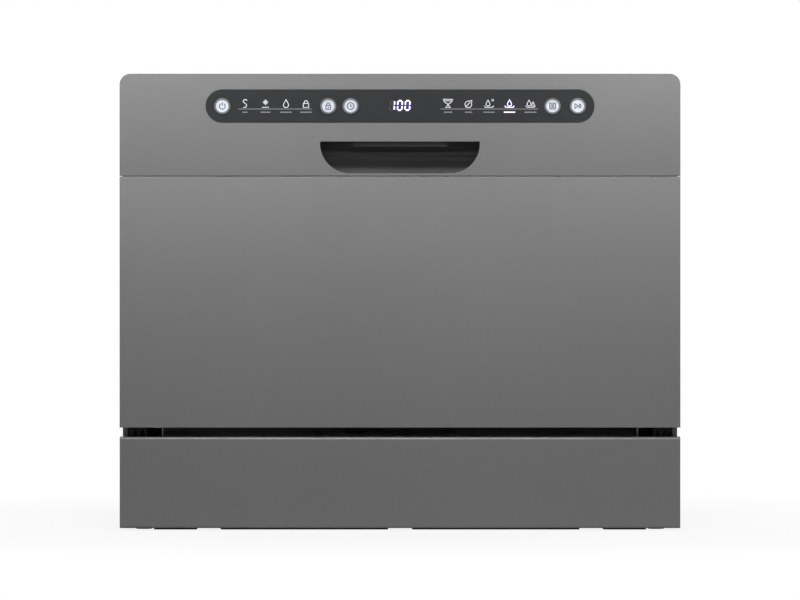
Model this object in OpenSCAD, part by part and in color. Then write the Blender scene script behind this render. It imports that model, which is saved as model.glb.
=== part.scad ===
// Countertop dishwasher: a free-standing cabinet with a stainless wash chamber, a door that drops
// forward with the controls in its top, and one rack on wheels.
// The front looks towards -Y, the width lies along X and the feet stand on Z = 0.
// A place in the depth is written as its distance behind the door's face.

/* [Cabinet] */
// Overall width
width = 550; // [540:1:570]
// Overall height
height = 448; // [446:1:470]
// Depth from the door's face to the heads of the rear screws
depth = 500; // [498:1:530]
// Thickness of the painted and stainless steel sheet
sheet = 1; // [0.8:0.1:1.1]
// Radius of the top corners
corner_r = 10.5; // [7:0.5:12]
// Height of the sheet edges above the floor
ground_gap = 2.2; // [1.6:0.1:3]
// Distance of the cabinet's front edge behind the door's face
cabinet_front = 25; // [24.8:0.1:26]
// Step in from the sides of the door and the plinth to the cabinet's sides
cabinet_step = 1.8; // [1.2:0.1:2.4]
// Step down from the top of the door to the top panel
top_step = 1; // [0.5:0.1:1.5]
// Width of the flanges folded along the sheet edges
fold = 12; // [10:0.5:12]
// Wall of the plastic base tray
tray_wall = 3; // [2:0.5:3.5]
// Height of the base tray's side walls
tray_h = 56; // [50:1:60]
// Depth of the service bay at the back of the base tray
bay_depth = 22; // [21:0.5:26]

/* [Feet and plinth] */
// Radius of a rubber foot where it meets the floor
foot_r = 8; // [6:0.5:9]
// Distance of the feet from the cabinet's sides
foot_side = 22; // [21:0.5:27]
// Distance of the feet from the front and the back
foot_inset = 44; // [38:1:60]
// Gap between the plinth and the door
plinth_gap = 9.2; // [9:0.1:12]
// Distance of the plinth's face behind the door's face
plinth_back = 2; // [1:0.5:3]

/* [Door] */
// Height of the door's lower edge
door_low = 101; // [99:0.5:103]
// Height of the hinge above the door's lower edge
hinge_rise = 5; // [4.5:0.1:5.5]
// Distance of the hinge behind the door's face
hinge_back = 12; // [11.5:0.1:12.5]
// Depth of the folded edge of the door
door_edge = 22; // [20:0.5:22.5]
// Depth of the door over its inner panel
door_thick = 62; // [60:0.5:64]
// Gap between the door's inner panel and the tub's walls
liner_gap = 7; // [5:0.5:10]
// Height of the control fascia
fascia_h = 100; // [98:1:102]
// Wall of the control fascia
fascia_wall = 2.5; // [2:0.1:3]
// Open seam between the door skin and the fascia
seam = 0.8; // [0.5:0.1:1.2]

/* [Controls] */
// Length of the dark control window
window_w = 381.2; // [370:0.2:400]
// Height of the dark control window
window_h = 32.7; // [30:0.1:36]
// Height of the window's middle below the top of the door
window_drop = 31.7; // [29:0.1:33]
// Thickness of the window
window_t = 1.5; // [1:0.1:1.6]
// Radius of a push button
button_r = 7.8; // [6.5:0.1:7.9]
// How far the buttons stand out
button_proud = 1.2; // [1:0.1:2]
// Radial play round a button
button_play = 0.35; // [0.2:0.05:0.6]
// Place of the power button
power_x = -174.3; // [-178:0.1:-170]
// Place of the child lock button
lock_x = -70.4; // [-75:0.1:-68]
// Place of the delayed start button
delay_x = -48.4; // [-50:0.1:-44]
// Place of the programme button
program_x = 149.6; // [145:0.1:152]
// Place of the start button
start_x = 174.4; // [171:0.1:178]

/* [Handle] */
// Width of the handle recess
recess_w = 156.7; // [140:0.1:170]
// Height of the handle recess
recess_h = 31.2; // [30:0.1:33]
// Height of the recess above the fascia's lower edge
recess_rise = 2.4; // [2.4:0.1:3]
// Radius of the lower corners of the recess
recess_r = 29; // [20:0.5:29]
// Depth of the handle recess
recess_depth = 34; // [32:0.5:36]
// Wall of the handle cup
cup_wall = 2; // [1.5:0.1:2]
// Width of the latch lever
lever_w = 92; // [86:1:110]
// How far the lever hangs into the recess
lever_drop = 4.5; // [3.5:0.5:6]

/* [Wash chamber] */
// Space between the tub's walls and the cabinet's sides
side_space = 33; // [32:0.5:35]
// Space between the tub's ceiling and the top of the door
ceiling_space = 30; // [29.5:0.5:31]
// Distance of the tub's back wall in front of the rear
rear_space = 33; // [30:1:35]
// Distance of the tub's front flange behind the cabinet's front edge
mouth_back = 11; // [10.5:0.5:12]
// Radius of the tub's corners
tub_r = 13; // [8:1:18]
// Width of the door gasket
gasket_w = 10; // [8:0.5:10]
// Radius of the filter well
well_r = 56; // [50:1:58]
// Gap between the spray arm's tip and the tub's front
spray_gap = 24.5; // [22:0.5:50]

/* [Rack] */
// Gap between the rack's wires and the tub's walls
rack_side = 24; // [23:0.5:30]
// Gap between the rack and the tub's back wall
rack_rear_gap = 6.5; // [5.5:0.5:12]
// Distance of the rack behind the tub's front edge
rack_back = 32; // [32:1:36]
// Height of the rack's rim above the tub floor
rim_h = 140; // [138:1:141]
// Height of the rack's bottom wires above the tub floor
bottom_h = 34; // [34:0.5:35]
// Diameter of the rack's bottom and side wires
wire_d = 4; // [3.6:0.1:4]
// Diameter of the rim wire
rim_d = 5; // [4.6:0.1:5]
// Diameter of the plate tines
tine_d = 3.4; // [3:0.1:4]
// Height of the plate tines
tine_h = 60; // [50:1:65]
// Radius of a rack wheel
wheel_r = 14; // [13.5:0.1:14.3]
// Width of a rack wheel
wheel_w = 8; // [7:0.5:8.5]
// Width of the cutlery basket
basket_w = 140; // [120:1:145]
// Depth of the cutlery basket
basket_d = 60; // [50:1:60]
// Height of the cutlery basket's walls
basket_h = 92; // [80:1:94]

/* [Hidden] */
$fn = 48;
// overshoot of a cut past the face it opens
cut = 1;
// running gap between pieces that move past each other
slack = 0.3;
// radial play of a pin in its bore
pin_play = 0.05;
// sides of a drawn wire
wire_sides = 8;

// the whole depth runs from the button faces to the rear screw heads
front_y = -(depth + button_proud) / 2 + button_proud;
half_w = width / 2;
cabinet_half = half_w - cabinet_step;
foot_x = half_w - foot_side;

// screws
screw_r = 1.9;
screw_hole_r = 2.1;
head_r = 4;
head_h = 1.5;

// cabinet heights
tray_low = ground_gap + sheet;
tray_floor = tray_low + tray_wall;
cabinet_top = height - top_step;
skirt_low = cabinet_top - corner_r - 6;
plinth_top = door_low - plinth_gap;
tray_front = 14;
tray_front_h = plinth_top - 12;
tray_half = cabinet_half - sheet - slack;
rear_face = depth - head_h;
bay_wall = rear_face - bay_depth;
bay_top = tray_floor + tray_h + 2;
foot_stem_r = 4.8;
screw_x = cabinet_half - 7;
keel_low = 0.4;
side_screws = [for (k = [0 : 3]) bay_top + 12 + (skirt_low - bay_top - 24) * k / 3];
top_screw_x = 90;
top_screw_z = cabinet_top - 7;

// door
hinge_z = door_low + hinge_rise;
apron_r = door_thick - hinge_back;
apron_front = hinge_back + apron_r * 0.48;
fascia_low = height - fascia_h;
skin_top = fascia_low - seam;
rim_half = half_w - 3;
rim_low = door_low + 1.5;
rim_top = height - 2;
liner_half = half_w - side_space - liner_gap;
liner_top = height - ceiling_space - 8;
edge_flange = 16;
hinge_slot_x = [half_w - 27, half_w - 9];
hinge_slot_top = hinge_z + 10;
door_screw_x = half_w - 9;
skin_screws = [hinge_slot_top + 20, hinge_slot_top + 110, skin_top - 18];
fascia_screws = [fascia_low + 20, height - 22];
bracket_x = [half_w - 16, half_w - 13];
arm_x = [half_w - 23, half_w - 20];
hinge_pin_r = 4;
spring_pin_r = 1.5;
spring_end = [262, tray_floor + 24];
spring_tail = [30, -15];

// tub
tub_floor = hinge_z + apron_r;
tub_ceiling = height - ceiling_space;
tub_half = half_w - side_space;
tub_front = door_thick + 0.5;
tub_back = depth - rear_space - sheet;
mouth = cabinet_front + mouth_back;
mouth_low = hinge_z + apron_r * 0.72;
lip_low = hinge_z - 22;
gasket_inset = 2;
gasket_front = door_edge + sheet + slack;

// places on the tub floor
hub = [0, (tub_front + tub_back) / 2 + 5.75];
well = [70, hub[1] - 55];
salt = [-130, hub[1] - 55];
float_at = [52 - tub_half, tub_back - 26];
spray_reach = hub[1] - tub_front - spray_gap;
heater_r = 140;
heater_tube_r = 4.2;
heater_z = tub_floor + heater_tube_r + 0.8;
heater_start = 5;
hub_hole_r = 20;
salt_hole_r = 30;
float_hole_r = 9;
port_r = 14;
port_at = [hub[1] - 30, tub_floor + 140];
sump_low = tub_floor - 86;
sump_wall = 3;
filter_hole_r = 32;
hub_bearing_r = 7;
arm_low = tub_floor + 12;
arm_t = 10;
arm_boss = 14;
float_r = 13;

// rack
rack_half = tub_half - rack_side;
rack_front = tub_front + rack_back;
rack_rear = tub_back - rack_rear_gap;
rack_floor = tub_floor + bottom_h;
rim_z = tub_floor + rim_h;
wheel_z = tub_floor + wheel_r + 0.5;
wheel_front = 95;
wheel_rear = 40;
axle_r = 3;
wheel_in = rack_half + wire_d / 2 + 1;
wheel_places = [rack_front + wheel_front, rack_rear - wheel_rear];
basket_at = [rack_half - 8 - basket_w, rack_front + 7];
basket_low = rack_floor + wire_d / 2 + slack;
shelf_w = 88;
shelf_rings = [rack_front + 68, rack_rear - 68];
shelf_ring_l = 14;
tine_first = 128;
tine_pitch = 80;
long_wires = 10;
cross_wires = 8;

// pump and hoses
pump_x = well[0] + 5;
pump_z = tub_floor - 66;
volute_r = 48;
volute_l = 28;
motor_r = 40;
motor_l = 108;
pump_face = tub_back - motor_l - volute_l;
inlet_pipe_r = 14;
pressure_r = 9;
pressure_x = pump_x - 43;
pressure_z = tub_floor - 17;
drain_x = well[0] + well_r + 6;
drain_z = tub_floor - 66;
drain_out_x = half_w - 95;
fitting_z = tray_floor + 30;
inlet_x = 95 - half_w;
gland_x = 60;
hose_r = 9;
fill_r = 6;
thread_r = 13.2;
gland_r = 8;
drain_hose_start = well[1] + 42;

// latch
latch_x = 2;
ear_x = [3.2, 5.2];
hook_v = 15;
hook_z = height - 14;
strike_v = 29;
strike_r = 1.5;
hook_t = 2.4;
lever_v = 14;
lever_z = fascia_low + recess_rise + recess_h + 4.4;
lever_shaft_r = 2.5;
recess_low = fascia_low + recess_rise;
recess_top_r = 1.5;
recess_top = recess_low + recess_h;
recess_back_r = 25;

// controls
window_z = height - window_drop;
board_v = 7.5;
board_t = 1.6;
button_places = [power_x, lock_x, delay_x, program_x, start_x];
button_travel = 1;
display_x = [-10, 14];
display_z = [window_z - 8, window_z + 8];

// dispenser
dispenser_x = [-90, 75];
dispenser_z = [tub_floor + 62, tub_floor + 144];
dispenser_proud = 2;
lid_t = 1.8;
cap_at = [dispenser_x[1] - 26, (dispenser_z[0] + dispenser_z[1]) / 2];
cup_x = [dispenser_x[0] + 12, dispenser_x[0] + 62];
cup_z = [cap_at[1] - 27, cap_at[1] + 27];

paint = [0.5, 0.5, 0.5];
black_plastic = [0.09, 0.09, 0.09];
stainless = [0.72, 0.73, 0.74];
galvanised = [0.6, 0.61, 0.6];
rubber = [0.16, 0.16, 0.17];
grey_plastic = [0.62, 0.64, 0.66];
white_plastic = [0.86, 0.87, 0.86];
silver = [0.72, 0.75, 0.8];

// a span given by its two ends, counted from a place
function about(place, ends) = [place + ends[0], place + ends[1]];

// a box between two corners, with its depth counted from the door's face
module block(x, v, z) {
    translate([x[0], front_y + v[0], z[0]]) cube([x[1] - x[0], v[1] - v[0], z[1] - z[0]]);
}

// a flat shape drawn in X and Z, run back from depth v[0] to v[1]
module deep(v) {
    translate([0, front_y + v[1], 0]) rotate([90, 0, 0]) linear_extrude(v[1] - v[0]) children();
}

// a flat shape drawn in depth and Z, run across from x[0] to x[1]
module wide(x) {
    translate([x[0], front_y, 0]) rotate([90, 0, 90]) linear_extrude(x[1] - x[0]) children();
}

// a flat shape drawn in X and depth, run up from z[0] to z[1]
module tall(z) {
    translate([0, front_y, z[0]]) linear_extrude(z[1] - z[0]) children();
}

// a round bar along X, at a depth and a height
module bar(x, v, z, r) {
    translate([x[0], front_y + v, z]) rotate([0, 90, 0]) cylinder(r = r, h = x[1] - x[0]);
}

// a round bar along the depth
module rod(x, v, z, r) {
    translate([x, front_y + v[0], z]) rotate([-90, 0, 0]) cylinder(r = r, h = v[1] - v[0]);
}

// a round post on the plan
module post(at, z, r) {
    translate([at[0], front_y + at[1], z[0]]) cylinder(r = r, h = z[1] - z[0]);
}

module area(x, y) {
    translate([x[0], y[0]]) square([x[1] - x[0], y[1] - y[0]]);
}

module rounded(x, y, r) {
    area([x[0] + r, x[1] - r], y);
    area(x, [y[0] + r, y[1] - r]);
    for (px = [x[0] + r, x[1] - r], py = [y[0] + r, y[1] - r]) translate([px, py]) circle(r);
}

// square below, rounded at its two upper corners
module rounded_top(x, y, r) {
    area(x, [y[0], y[1] - r]);
    area([x[0] + r, x[1] - r], y);
    intersection() {
        for (px = [x[0] + r, x[1] - r]) translate([px, y[1] - r]) circle(r);
        area(x, y);
    }
}

// one copy on each side
module both() {
    children();
    mirror([1, 0, 0]) children();
}

// a wire between two points, each given as x, depth and height
module wire(a, b, d) {
    v = b - a;
    l = norm(v);
    translate([a[0], front_y + a[1], a[2]]) rotate([0, acos(v[2] / l), atan2(v[1], v[0])])
        cylinder(d = d, h = l, $fn = wire_sides);
}

// points along a smooth curve through a list of points
function between(p, i, t) =
    let (a = p[max(i - 1, 0)], b = p[i], c = p[i + 1], d = p[min(i + 2, len(p) - 1)])
    0.5 * (2 * b + (c - a) * t + (2 * a - 5 * b + 4 * c - d) * t * t
        + (3 * b - a - 3 * c + d) * t * t * t);
function curve(p, steps) = concat(
    [for (i = [0 : len(p) - 2], k = [0 : steps - 1]) between(p, i, k / steps)], [p[len(p) - 1]]);
function unit(v) = v / norm(v);
function across(n, t) = unit(n - (n * t) * t);

// a hose along a list of points, each given as x, depth and height
module hose(points, r, start = [1, 0, 0]) {
    sides = 10;
    p = curve(points, 3);
    last = len(p) - 1;
    t = [for (i = [0 : last]) unit(p[min(i + 1, last)] - p[max(i - 1, 0)])];
    n = [for (i = 0, m = across(start, t[0]); i <= last; i = i + 1, m = across(m, t[min(i, last)])) m];
    rings = [for (i = [0 : last], k = [0 : sides - 1])
        p[i] + r * (cos(360 * k / sides) * n[i] + sin(360 * k / sides) * cross(t[i], n[i]))];
    walls = [for (i = [0 : last - 1], k = [0 : sides - 1])
        let (a = i * sides + k, b = i * sides + (k + 1) % sides)
            each [[a, a + sides, b], [b, a + sides, b + sides]]];
    ends = [[for (k = [0 : sides - 1]) k], [for (k = [sides - 1 : -1 : 0]) last * sides + k]];
    translate([0, front_y, 0]) polyhedron(rings, concat(walls, ends));
}

// Cabinet

module base_tray() {
    color(black_plastic) difference() {
        union() {
            block([-tray_half, tray_half], [tray_front, rear_face - slack], [tray_low, tray_floor]);
            both() block([tray_half - tray_wall, tray_half], [tray_front, rear_face - slack],
                [tray_low, tray_floor + tray_h]);
            block([-tray_half, tray_half], [tray_front, tray_front + tray_wall],
                [tray_low, tray_front_h]);
            block([-tray_half, tray_half], [bay_wall - tray_wall, bay_wall],
                [tray_low, tray_floor + tray_h]);
            // keels that stand just clear of the floor
            both() {
                block([11.8, drain_out_x - 3.5], [cabinet_front, rear_face - 20], [keel_low, tray_low]);
                block([foot_x - 53, foot_x - foot_r - 3], [cabinet_front, rear_face - 20], [keel_low, tray_low]);
            }
            // noses of the keels, under the plinth's lower flange
            both() for (x = [[11.8, drain_out_x - 3.5], [foot_x - 53, foot_x - foot_r - 3]])
                block(x, [tray_front, cabinet_front + cut], [keel_low, ground_gap - slack]);
            // posts under the tub
            both() for (v = [tub_front + 30, tub_back - 24])
                block(about(tub_half, [-34, -18]), [v, v + 20], [tray_floor, tub_floor - sheet]);
            // anchors of the door springs
            both() wide([half_w - 34, half_w - 31]) spring_anchor();
            // saddle under the wash pump
            for (v = [pump_face + 45, pump_face + 110])
                block([pump_x - 30, pump_x + 30], [v, v + 8], [tray_floor, pump_z - motor_r + 6]);
        }
        both() for (v = [foot_inset, depth - foot_inset])
            post([foot_x, v], [0, tray_floor + cut], foot_stem_r + 0.2);
        rod(inlet_x, [bay_wall - tray_wall - cut, bay_wall + cut], fitting_z, thread_r + 0.8);
        rod(drain_out_x, [bay_wall - tray_wall - cut, bay_wall + cut], fitting_z, hose_r + 1.8);
        rod(gland_x, [bay_wall - tray_wall - cut, bay_wall + cut], fitting_z, gland_r + 0.2);
        rod(pump_x, [pump_face, pump_face + volute_l + motor_l], pump_z, motor_r);
    }
}

module spring_anchor() {
    difference() {
        area([spring_end[0] - 8, spring_end[0] + 8], [tray_floor, spring_end[1] + 8]);
        translate(spring_end) circle(spring_pin_r + slack);
    }
}

module rubber_feet() {
    color(rubber) both() for (v = [foot_inset, depth - foot_inset]) {
        translate([foot_x, front_y + v, 0]) {
            cylinder(r1 = foot_r, r2 = foot_r + 2, h = tray_low);
            cylinder(r = foot_stem_r, h = tray_floor + 3);
            translate([0, 0, tray_floor]) cylinder(r = foot_stem_r + 2, h = 3);
        }
    }
}

module plinth_outline(inset) {
    r = 3 - inset;
    difference() {
        rounded([plinth_back + inset, plinth_back + 40], [ground_gap + inset, plinth_top - inset], r);
        area([cabinet_front - sheet, plinth_back + 50], [0, plinth_top + 10]);
    }
}

module plinth() {
    top_flange = plinth_back + 8;
    color(paint) union() {
        wide([-half_w, half_w]) difference() {
            plinth_outline(0);
            plinth_outline(sheet);
            area([plinth_back + 10, cabinet_front + 20], [ground_gap + sheet, plinth_top - 4]);
            area([top_flange, cabinet_front + 20], [plinth_top - 5, plinth_top + 5]);
        }
        both() wide([half_w - sheet, half_w]) plinth_outline(0);
    }
}

module side_panel() {
    rear_flange = rear_face - sheet;
    color(paint) difference() {
        union() {
            block([cabinet_half - sheet, cabinet_half], [cabinet_front, depth], [ground_gap, skirt_low]);
            block([cabinet_half - 5, cabinet_half], [cabinet_front, cabinet_front + sheet], [bay_top, skirt_low]);
            block([cabinet_half - 8, cabinet_half], [cabinet_front, rear_flange], [ground_gap, tray_low]);
            block([cabinet_half - fold - sheet, cabinet_half], [rear_flange - sheet, rear_flange],
                [bay_top, skirt_low]);
        }
        for (z = side_screws) rod(screw_x, [rear_flange - 5, rear_face + cut], z, screw_hole_r);
    }
}

module left_side_panel() {
    mirror([1, 0, 0]) side_panel();
}

module right_side_panel() {
    side_panel();
}

module top_panel() {
    rear_flange = rear_face - sheet;
    color(paint) difference() {
        union() {
            deep([cabinet_front, depth]) difference() {
                rounded_top([-cabinet_half, cabinet_half], [skirt_low, cabinet_top], corner_r);
                rounded_top([sheet - cabinet_half, cabinet_half - sheet], [skirt_low - cut, cabinet_top - sheet],
                    corner_r - sheet);
            }
            block([corner_r + 4 - cabinet_half, cabinet_half - corner_r - 4],
                [cabinet_front, cabinet_front + sheet], [cabinet_top - 5, cabinet_top - sheet / 2]);
            block([fold + 6 - cabinet_half, cabinet_half - fold - 6], [rear_flange - sheet, rear_flange],
                [cabinet_top - fold, cabinet_top - sheet / 2]);
        }
        both() rod(top_screw_x, [rear_flange - 5, rear_face + cut], top_screw_z, screw_hole_r);
    }
}

module rear_cover() {
    louvre_w = 60;
    color(galvanised) difference() {
        deep([rear_face - sheet, rear_face]) rounded_top([slack + sheet - cabinet_half, cabinet_half - sheet - slack],
            [bay_top, cabinet_top - sheet - slack], corner_r - sheet - slack);
        both() for (z = side_screws)
            rod(screw_x, [rear_face - 5, rear_face + cut], z, screw_hole_r);
        both() rod(top_screw_x, [rear_face - 5, rear_face + cut], top_screw_z, screw_hole_r);
        for (x = [105 - half_w, half_w - 165], k = [0 : 7])
            block([x, x + louvre_w], [rear_face - 5, rear_face + cut],
                [bay_top + 20 + 8 * k, bay_top + 23 + 8 * k]);
    }
}

module cabinet_screw(x, z) {
    rod(x, [rear_face - 8, rear_face], z, screw_r);
    rod(x, [rear_face, depth], z, head_r);
}

module cabinet_screws() {
    color(galvanised) both() {
        for (z = side_screws) cabinet_screw(screw_x, z);
        cabinet_screw(top_screw_x, top_screw_z);
    }
}

// Wash chamber

module tub() {
    wall = tub_half + sheet;
    color(stainless) difference() {
        union() {
            difference() {
                deep([mouth, tub_back + sheet])
                    rounded([-wall, wall], [tub_floor - sheet, tub_ceiling + sheet], tub_r + sheet);
                deep([mouth - cut, tub_back])
                    rounded([-tub_half, tub_half], [tub_floor, tub_ceiling], tub_r);
                // the floor starts behind the door's inner panel
                block([-wall - cut, wall + cut], [mouth - cut, tub_front],
                    [tub_floor - 5, tub_floor + tub_r + 1]);
            }
            both() block([tub_half, wall], [mouth, tub_front + sheet],
                [mouth_low, tub_floor + tub_r + 2]);
            // flange round the mouth
            deep([mouth, mouth + sheet]) difference() {
                area([sheet - cabinet_half, cabinet_half - sheet], [mouth_low, skirt_low + 4]);
                area([-tub_half, tub_half], [mouth_low - cut, tub_ceiling - tub_r]);
                rounded([-tub_half, tub_half], [tub_floor, tub_ceiling], tub_r);
            }
            block([-wall + 18, wall - 18], [mouth, mouth + sheet], [skirt_low + 3, cabinet_top - sheet]);
            // front lip, down behind the door's curved apron
            block([-wall, wall], [tub_front, tub_front + sheet], [lip_low, tub_floor]);
        }
        post(well, [tub_floor - 5, tub_floor + 1], well_r);
        post(hub, [tub_floor - 5, tub_floor + 1], hub_hole_r);
        post(salt, [tub_floor - 5, tub_floor + 1], salt_hole_r);
        post(float_at, [tub_floor - 5, tub_floor + 1], float_hole_r);
        for (a = [heater_start, 180 - heater_start])
            post(hub + heater_r * [cos(a), sin(a)], [tub_floor - 5, tub_floor + 1],
                heater_tube_r + 1.6);
        bar([-wall - cut, cut - tub_half], port_at[0], port_at[1], port_r + 1);
    }
}

module door_gasket() {
    inner = tub_half + gasket_inset;
    outer = inner + gasket_w;
    color(rubber) deep([gasket_front, mouth]) difference() {
        rounded_top([-outer, outer], [tub_floor - 3, tub_ceiling + gasket_inset + gasket_w], tub_r + 5);
        rounded_top([-inner, inner], [tub_floor - 5, tub_ceiling + gasket_inset], tub_r - 3);
    }
}

module lower_tub_seal() {
    color(rubber) wide([-liner_half, liner_half]) difference() {
        area([tub_front - 4, tub_front], [lip_low, lip_low + 15]);
        translate([hinge_back, hinge_z]) circle(apron_r + slack, $fn = 192);
    }
}

module latch_striker() {
    prong = [8, 10];
    color(galvanised) union() {
        block([-18, 18], [mouth - 2, mouth], [hook_z - 3.5, cabinet_top - sheet - 1]);
        both() block(prong, [strike_v - 2.5, mouth - 2], [hook_z - 3.5, hook_z + 3.5]);
        bar([-prong[0], prong[0]], strike_v, hook_z, strike_r);
    }
}

// Hinges

module hinge_bracket() {
    color(galvanised) union() {
        wide(bracket_x) union() {
            area([52, 72], [tray_floor, hinge_z - 10]);
            polygon([[hinge_back, hinge_z - 6.5], [44, hinge_z - 22], [72, hinge_z - 22],
                [72, hinge_z - 12], [34, hinge_z + 6.5], [hinge_back, hinge_z + 6.5]]);
            translate([hinge_back, hinge_z]) circle(6.5);
        }
        block([bracket_x[0] - 12, bracket_x[0]], [52, 72], [tray_floor, tray_floor + 3]);
        bar([arm_x[0] - 1.5, bracket_x[0]], hinge_back, hinge_z, hinge_pin_r);
    }
}

module left_hinge_bracket() {
    mirror([1, 0, 0]) hinge_bracket();
}

module right_hinge_bracket() {
    hinge_bracket();
}

module hinge_arm() {
    tail = norm(spring_tail);
    color(galvanised) difference() {
        union() {
            wide(arm_x) union() {
                area([hinge_back - 4, door_edge], [hinge_z, hinge_z + 124]);
                translate([hinge_back, hinge_z]) {
                    circle(7);
                    rotate(atan2(spring_tail[1], spring_tail[0])) area([0, tail], [-4, 4]);
                    translate(spring_tail) circle(4);
                }
            }
            block([arm_x[0] - 9, arm_x[1]], [door_edge - 2, door_edge], [hinge_z + 14, hinge_z + 120]);
        }
        bar([arm_x[0] - cut, arm_x[1] + cut], hinge_back, hinge_z, hinge_pin_r + pin_play);
        bar([arm_x[0] - cut, arm_x[1] + cut], hinge_back + spring_tail[0],
            hinge_z + spring_tail[1], spring_pin_r + slack);
    }
}

module left_hinge_arm() {
    mirror([1, 0, 0]) hinge_arm();
}

module right_hinge_arm() {
    hinge_arm();
}

// one tension spring a side, drawn as its outer tube, with a straight wire and a cross pin at each end
module door_springs() {
    x = half_w - 29;
    tail = [hinge_back, hinge_z] + spring_tail;
    run = spring_end - tail;
    pin = spring_pin_r;
    color(galvanised) both() {
        translate([x, front_y + tail[0], tail[1]]) rotate([atan2(run[1], run[0]) - 90, 0, 0]) {
            cylinder(r = pin - 0.3, h = norm(run));
            translate([0, 0, norm(run) * 0.18]) cylinder(r = 4.5, h = norm(run) * 0.67);
        }
        bar([x - 2, arm_x[1] + 1], tail[0], tail[1], pin);
        bar([half_w - 34.5, x + 2], spring_end[0], spring_end[1], pin);
    }
}

// Water path

module sump_plan(grow) {
    translate(well) circle(well_r + grow);
    translate(hub) circle(37 + grow);
    translate(hub) rotate(atan2(well[1] - hub[1], well[0] - hub[0])) area([0, norm(well - hub)],
        [-30 - grow, 30 + grow]);
}

module sump() {
    under = tub_floor - sheet;
    color(grey_plastic) difference() {
        union() {
            tall([sump_low, under]) sump_plan(sump_wall);
            tall([under - 3, under]) sump_plan(sump_wall + 6);
            rod(pump_x, [well[1], pump_face - 30], pump_z, inlet_pipe_r);
            rod(pressure_x, [hub[1], hub[1] + 40], pressure_z, pressure_r + 3);
            bar([well[0], drain_x], well[1], drain_z, 20);
        }
        tall([sump_low + sump_wall, under + cut]) sump_plan(0);
        rod(pump_x, [well[1], pump_face - 29], pump_z, inlet_pipe_r - 2.5);
        rod(pressure_x, [hub[1] + 20, hub[1] + 41], pressure_z, pressure_r + 0.2);
        bar([well[0], drain_x + cut], well[1], drain_z, 12);
    }
}

module filter_plate() {
    color(stainless) difference() {
        union() {
            post(well, [tub_floor, tub_floor + 1.5], well_r + 6);
            post(well, [tub_floor - 6, tub_floor], well_r - 0.5);
        }
        post(well, [tub_floor - 10, tub_floor + 5], filter_hole_r);
        for (k = [0 : 23], r = [38, 44, 50])
            post(well + r * [cos(15 * k), sin(15 * k)], [tub_floor - 10, tub_floor + 5], 1.6);
    }
}

module micro_filter() {
    flange = tub_floor + 1.5 + slack;
    wall = 1.5;
    r = filter_hole_r - 0.5;
    color(grey_plastic) union() {
        difference() {
            union() {
                post(well, [flange, flange + 2], filter_hole_r + 4);
                post(well, [sump_low + 8, flange], r);
            }
            post(well, [sump_low + 8 + wall, flange + 5], r - wall);
        }
        block(about(well[0], [-r, r]), about(well[1], [-2.5, 2.5]), [flange - 6, flange + 6]);
    }
}

module spray_hub() {
    color(grey_plastic) union() {
        post(hub, [tub_floor - 60, arm_low - 2], 12);
        post(hub, [tub_floor, tub_floor + 3], hub_hole_r + 6);
        post(hub, [arm_low - 3, arm_low + arm_boss + 1], hub_bearing_r);
        post(hub, [arm_low + arm_boss + slack, arm_low + arm_boss + 3], hub_bearing_r + 3);
    }
}

module spray_arm() {
    tip = spray_reach - 17;
    color(grey_plastic) difference() {
        union() {
            tall([arm_low, arm_low + arm_t]) translate(hub) union() {
                area([-tip, tip], [-17, 17]);
                for (x = [-tip, tip]) translate([x, 0]) circle(17);
            }
            post(hub, [arm_low, arm_low + arm_boss], 22);
        }
        post(hub, [arm_low - cut, arm_low + arm_boss + cut], hub_bearing_r + 0.1);
        for (x = [45, 75, 105, 135, 165]) {
            post(hub + [x, 6], [arm_low + arm_t - 3, arm_low + arm_t + cut], 1.6);
            post(hub + [-x, -6], [arm_low + arm_t - 3, arm_low + arm_t + cut], 1.6);
        }
    }
}

module softener() {
    body_top = tub_floor - 6;
    neck_r = salt_hole_r - 1;
    color(white_plastic) difference() {
        union() {
            block(about(salt[0], [-65, 45]), about(salt[1], [-75, 48]), [tub_floor - 96, body_top]);
            post(salt, [body_top - 1, tub_floor + 2], neck_r);
            post(salt, [tub_floor, tub_floor + 2], salt_hole_r + 4);
        }
        post(salt, [tub_floor - 50, tub_floor + 5], neck_r - 5);
    }
}

module salt_cap() {
    seat = tub_floor + 2 + slack;
    color(grey_plastic) union() {
        post(salt, [seat, seat + 3], salt_hole_r);
        post(salt, [tub_floor - 16, seat], salt_hole_r - 6.5);
        block(about(salt[0], [-22, 22]), about(salt[1], [-2.5, 2.5]), [seat + 2, seat + 6.5]);
    }
}

module wash_pump() {
    color(black_plastic) difference() {
        union() {
            rod(pump_x, [pump_face, pump_face + volute_l], pump_z, volute_r);
            rod(pump_x, [pump_face + volute_l, pump_face + volute_l + motor_l], pump_z, motor_r);
            rod(pump_x, [pump_face - 40, pump_face], pump_z, inlet_pipe_r + 3);
            post([pressure_x, pump_face + volute_l / 2], [pump_z, pressure_z], pressure_r);
            translate([pressure_x, front_y + pump_face + volute_l / 2, pressure_z])
                sphere(pressure_r);
            rod(pressure_x, [hub[1] + 30, pump_face + volute_l / 2], pressure_z, pressure_r);
        }
        rod(pump_x, [pump_face - 41, pump_face + 2], pump_z, inlet_pipe_r + 0.2);
        rod(pump_x, [pump_face + 2, pump_face + volute_l - 2], pump_z, volute_r - 12);
        rod(pump_x, [pump_face + volute_l - 3, pump_face + volute_l + 30], pump_z, 4 + pin_play);
    }
}

module pump_impeller() {
    color(white_plastic) union() {
        rod(pump_x, [pump_face + 12, pump_face + 15], pump_z, volute_r - 15);
        rod(pump_x, [pump_face + 8, pump_face + volute_l + 28], pump_z, 4);
        for (a = [0 : 60 : 300]) translate([pump_x, front_y + pump_face + 6, pump_z])
            rotate([0, a, 0]) translate([3, 0, -1]) cube([volute_r - 20, 7, 2]);
    }
}

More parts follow.
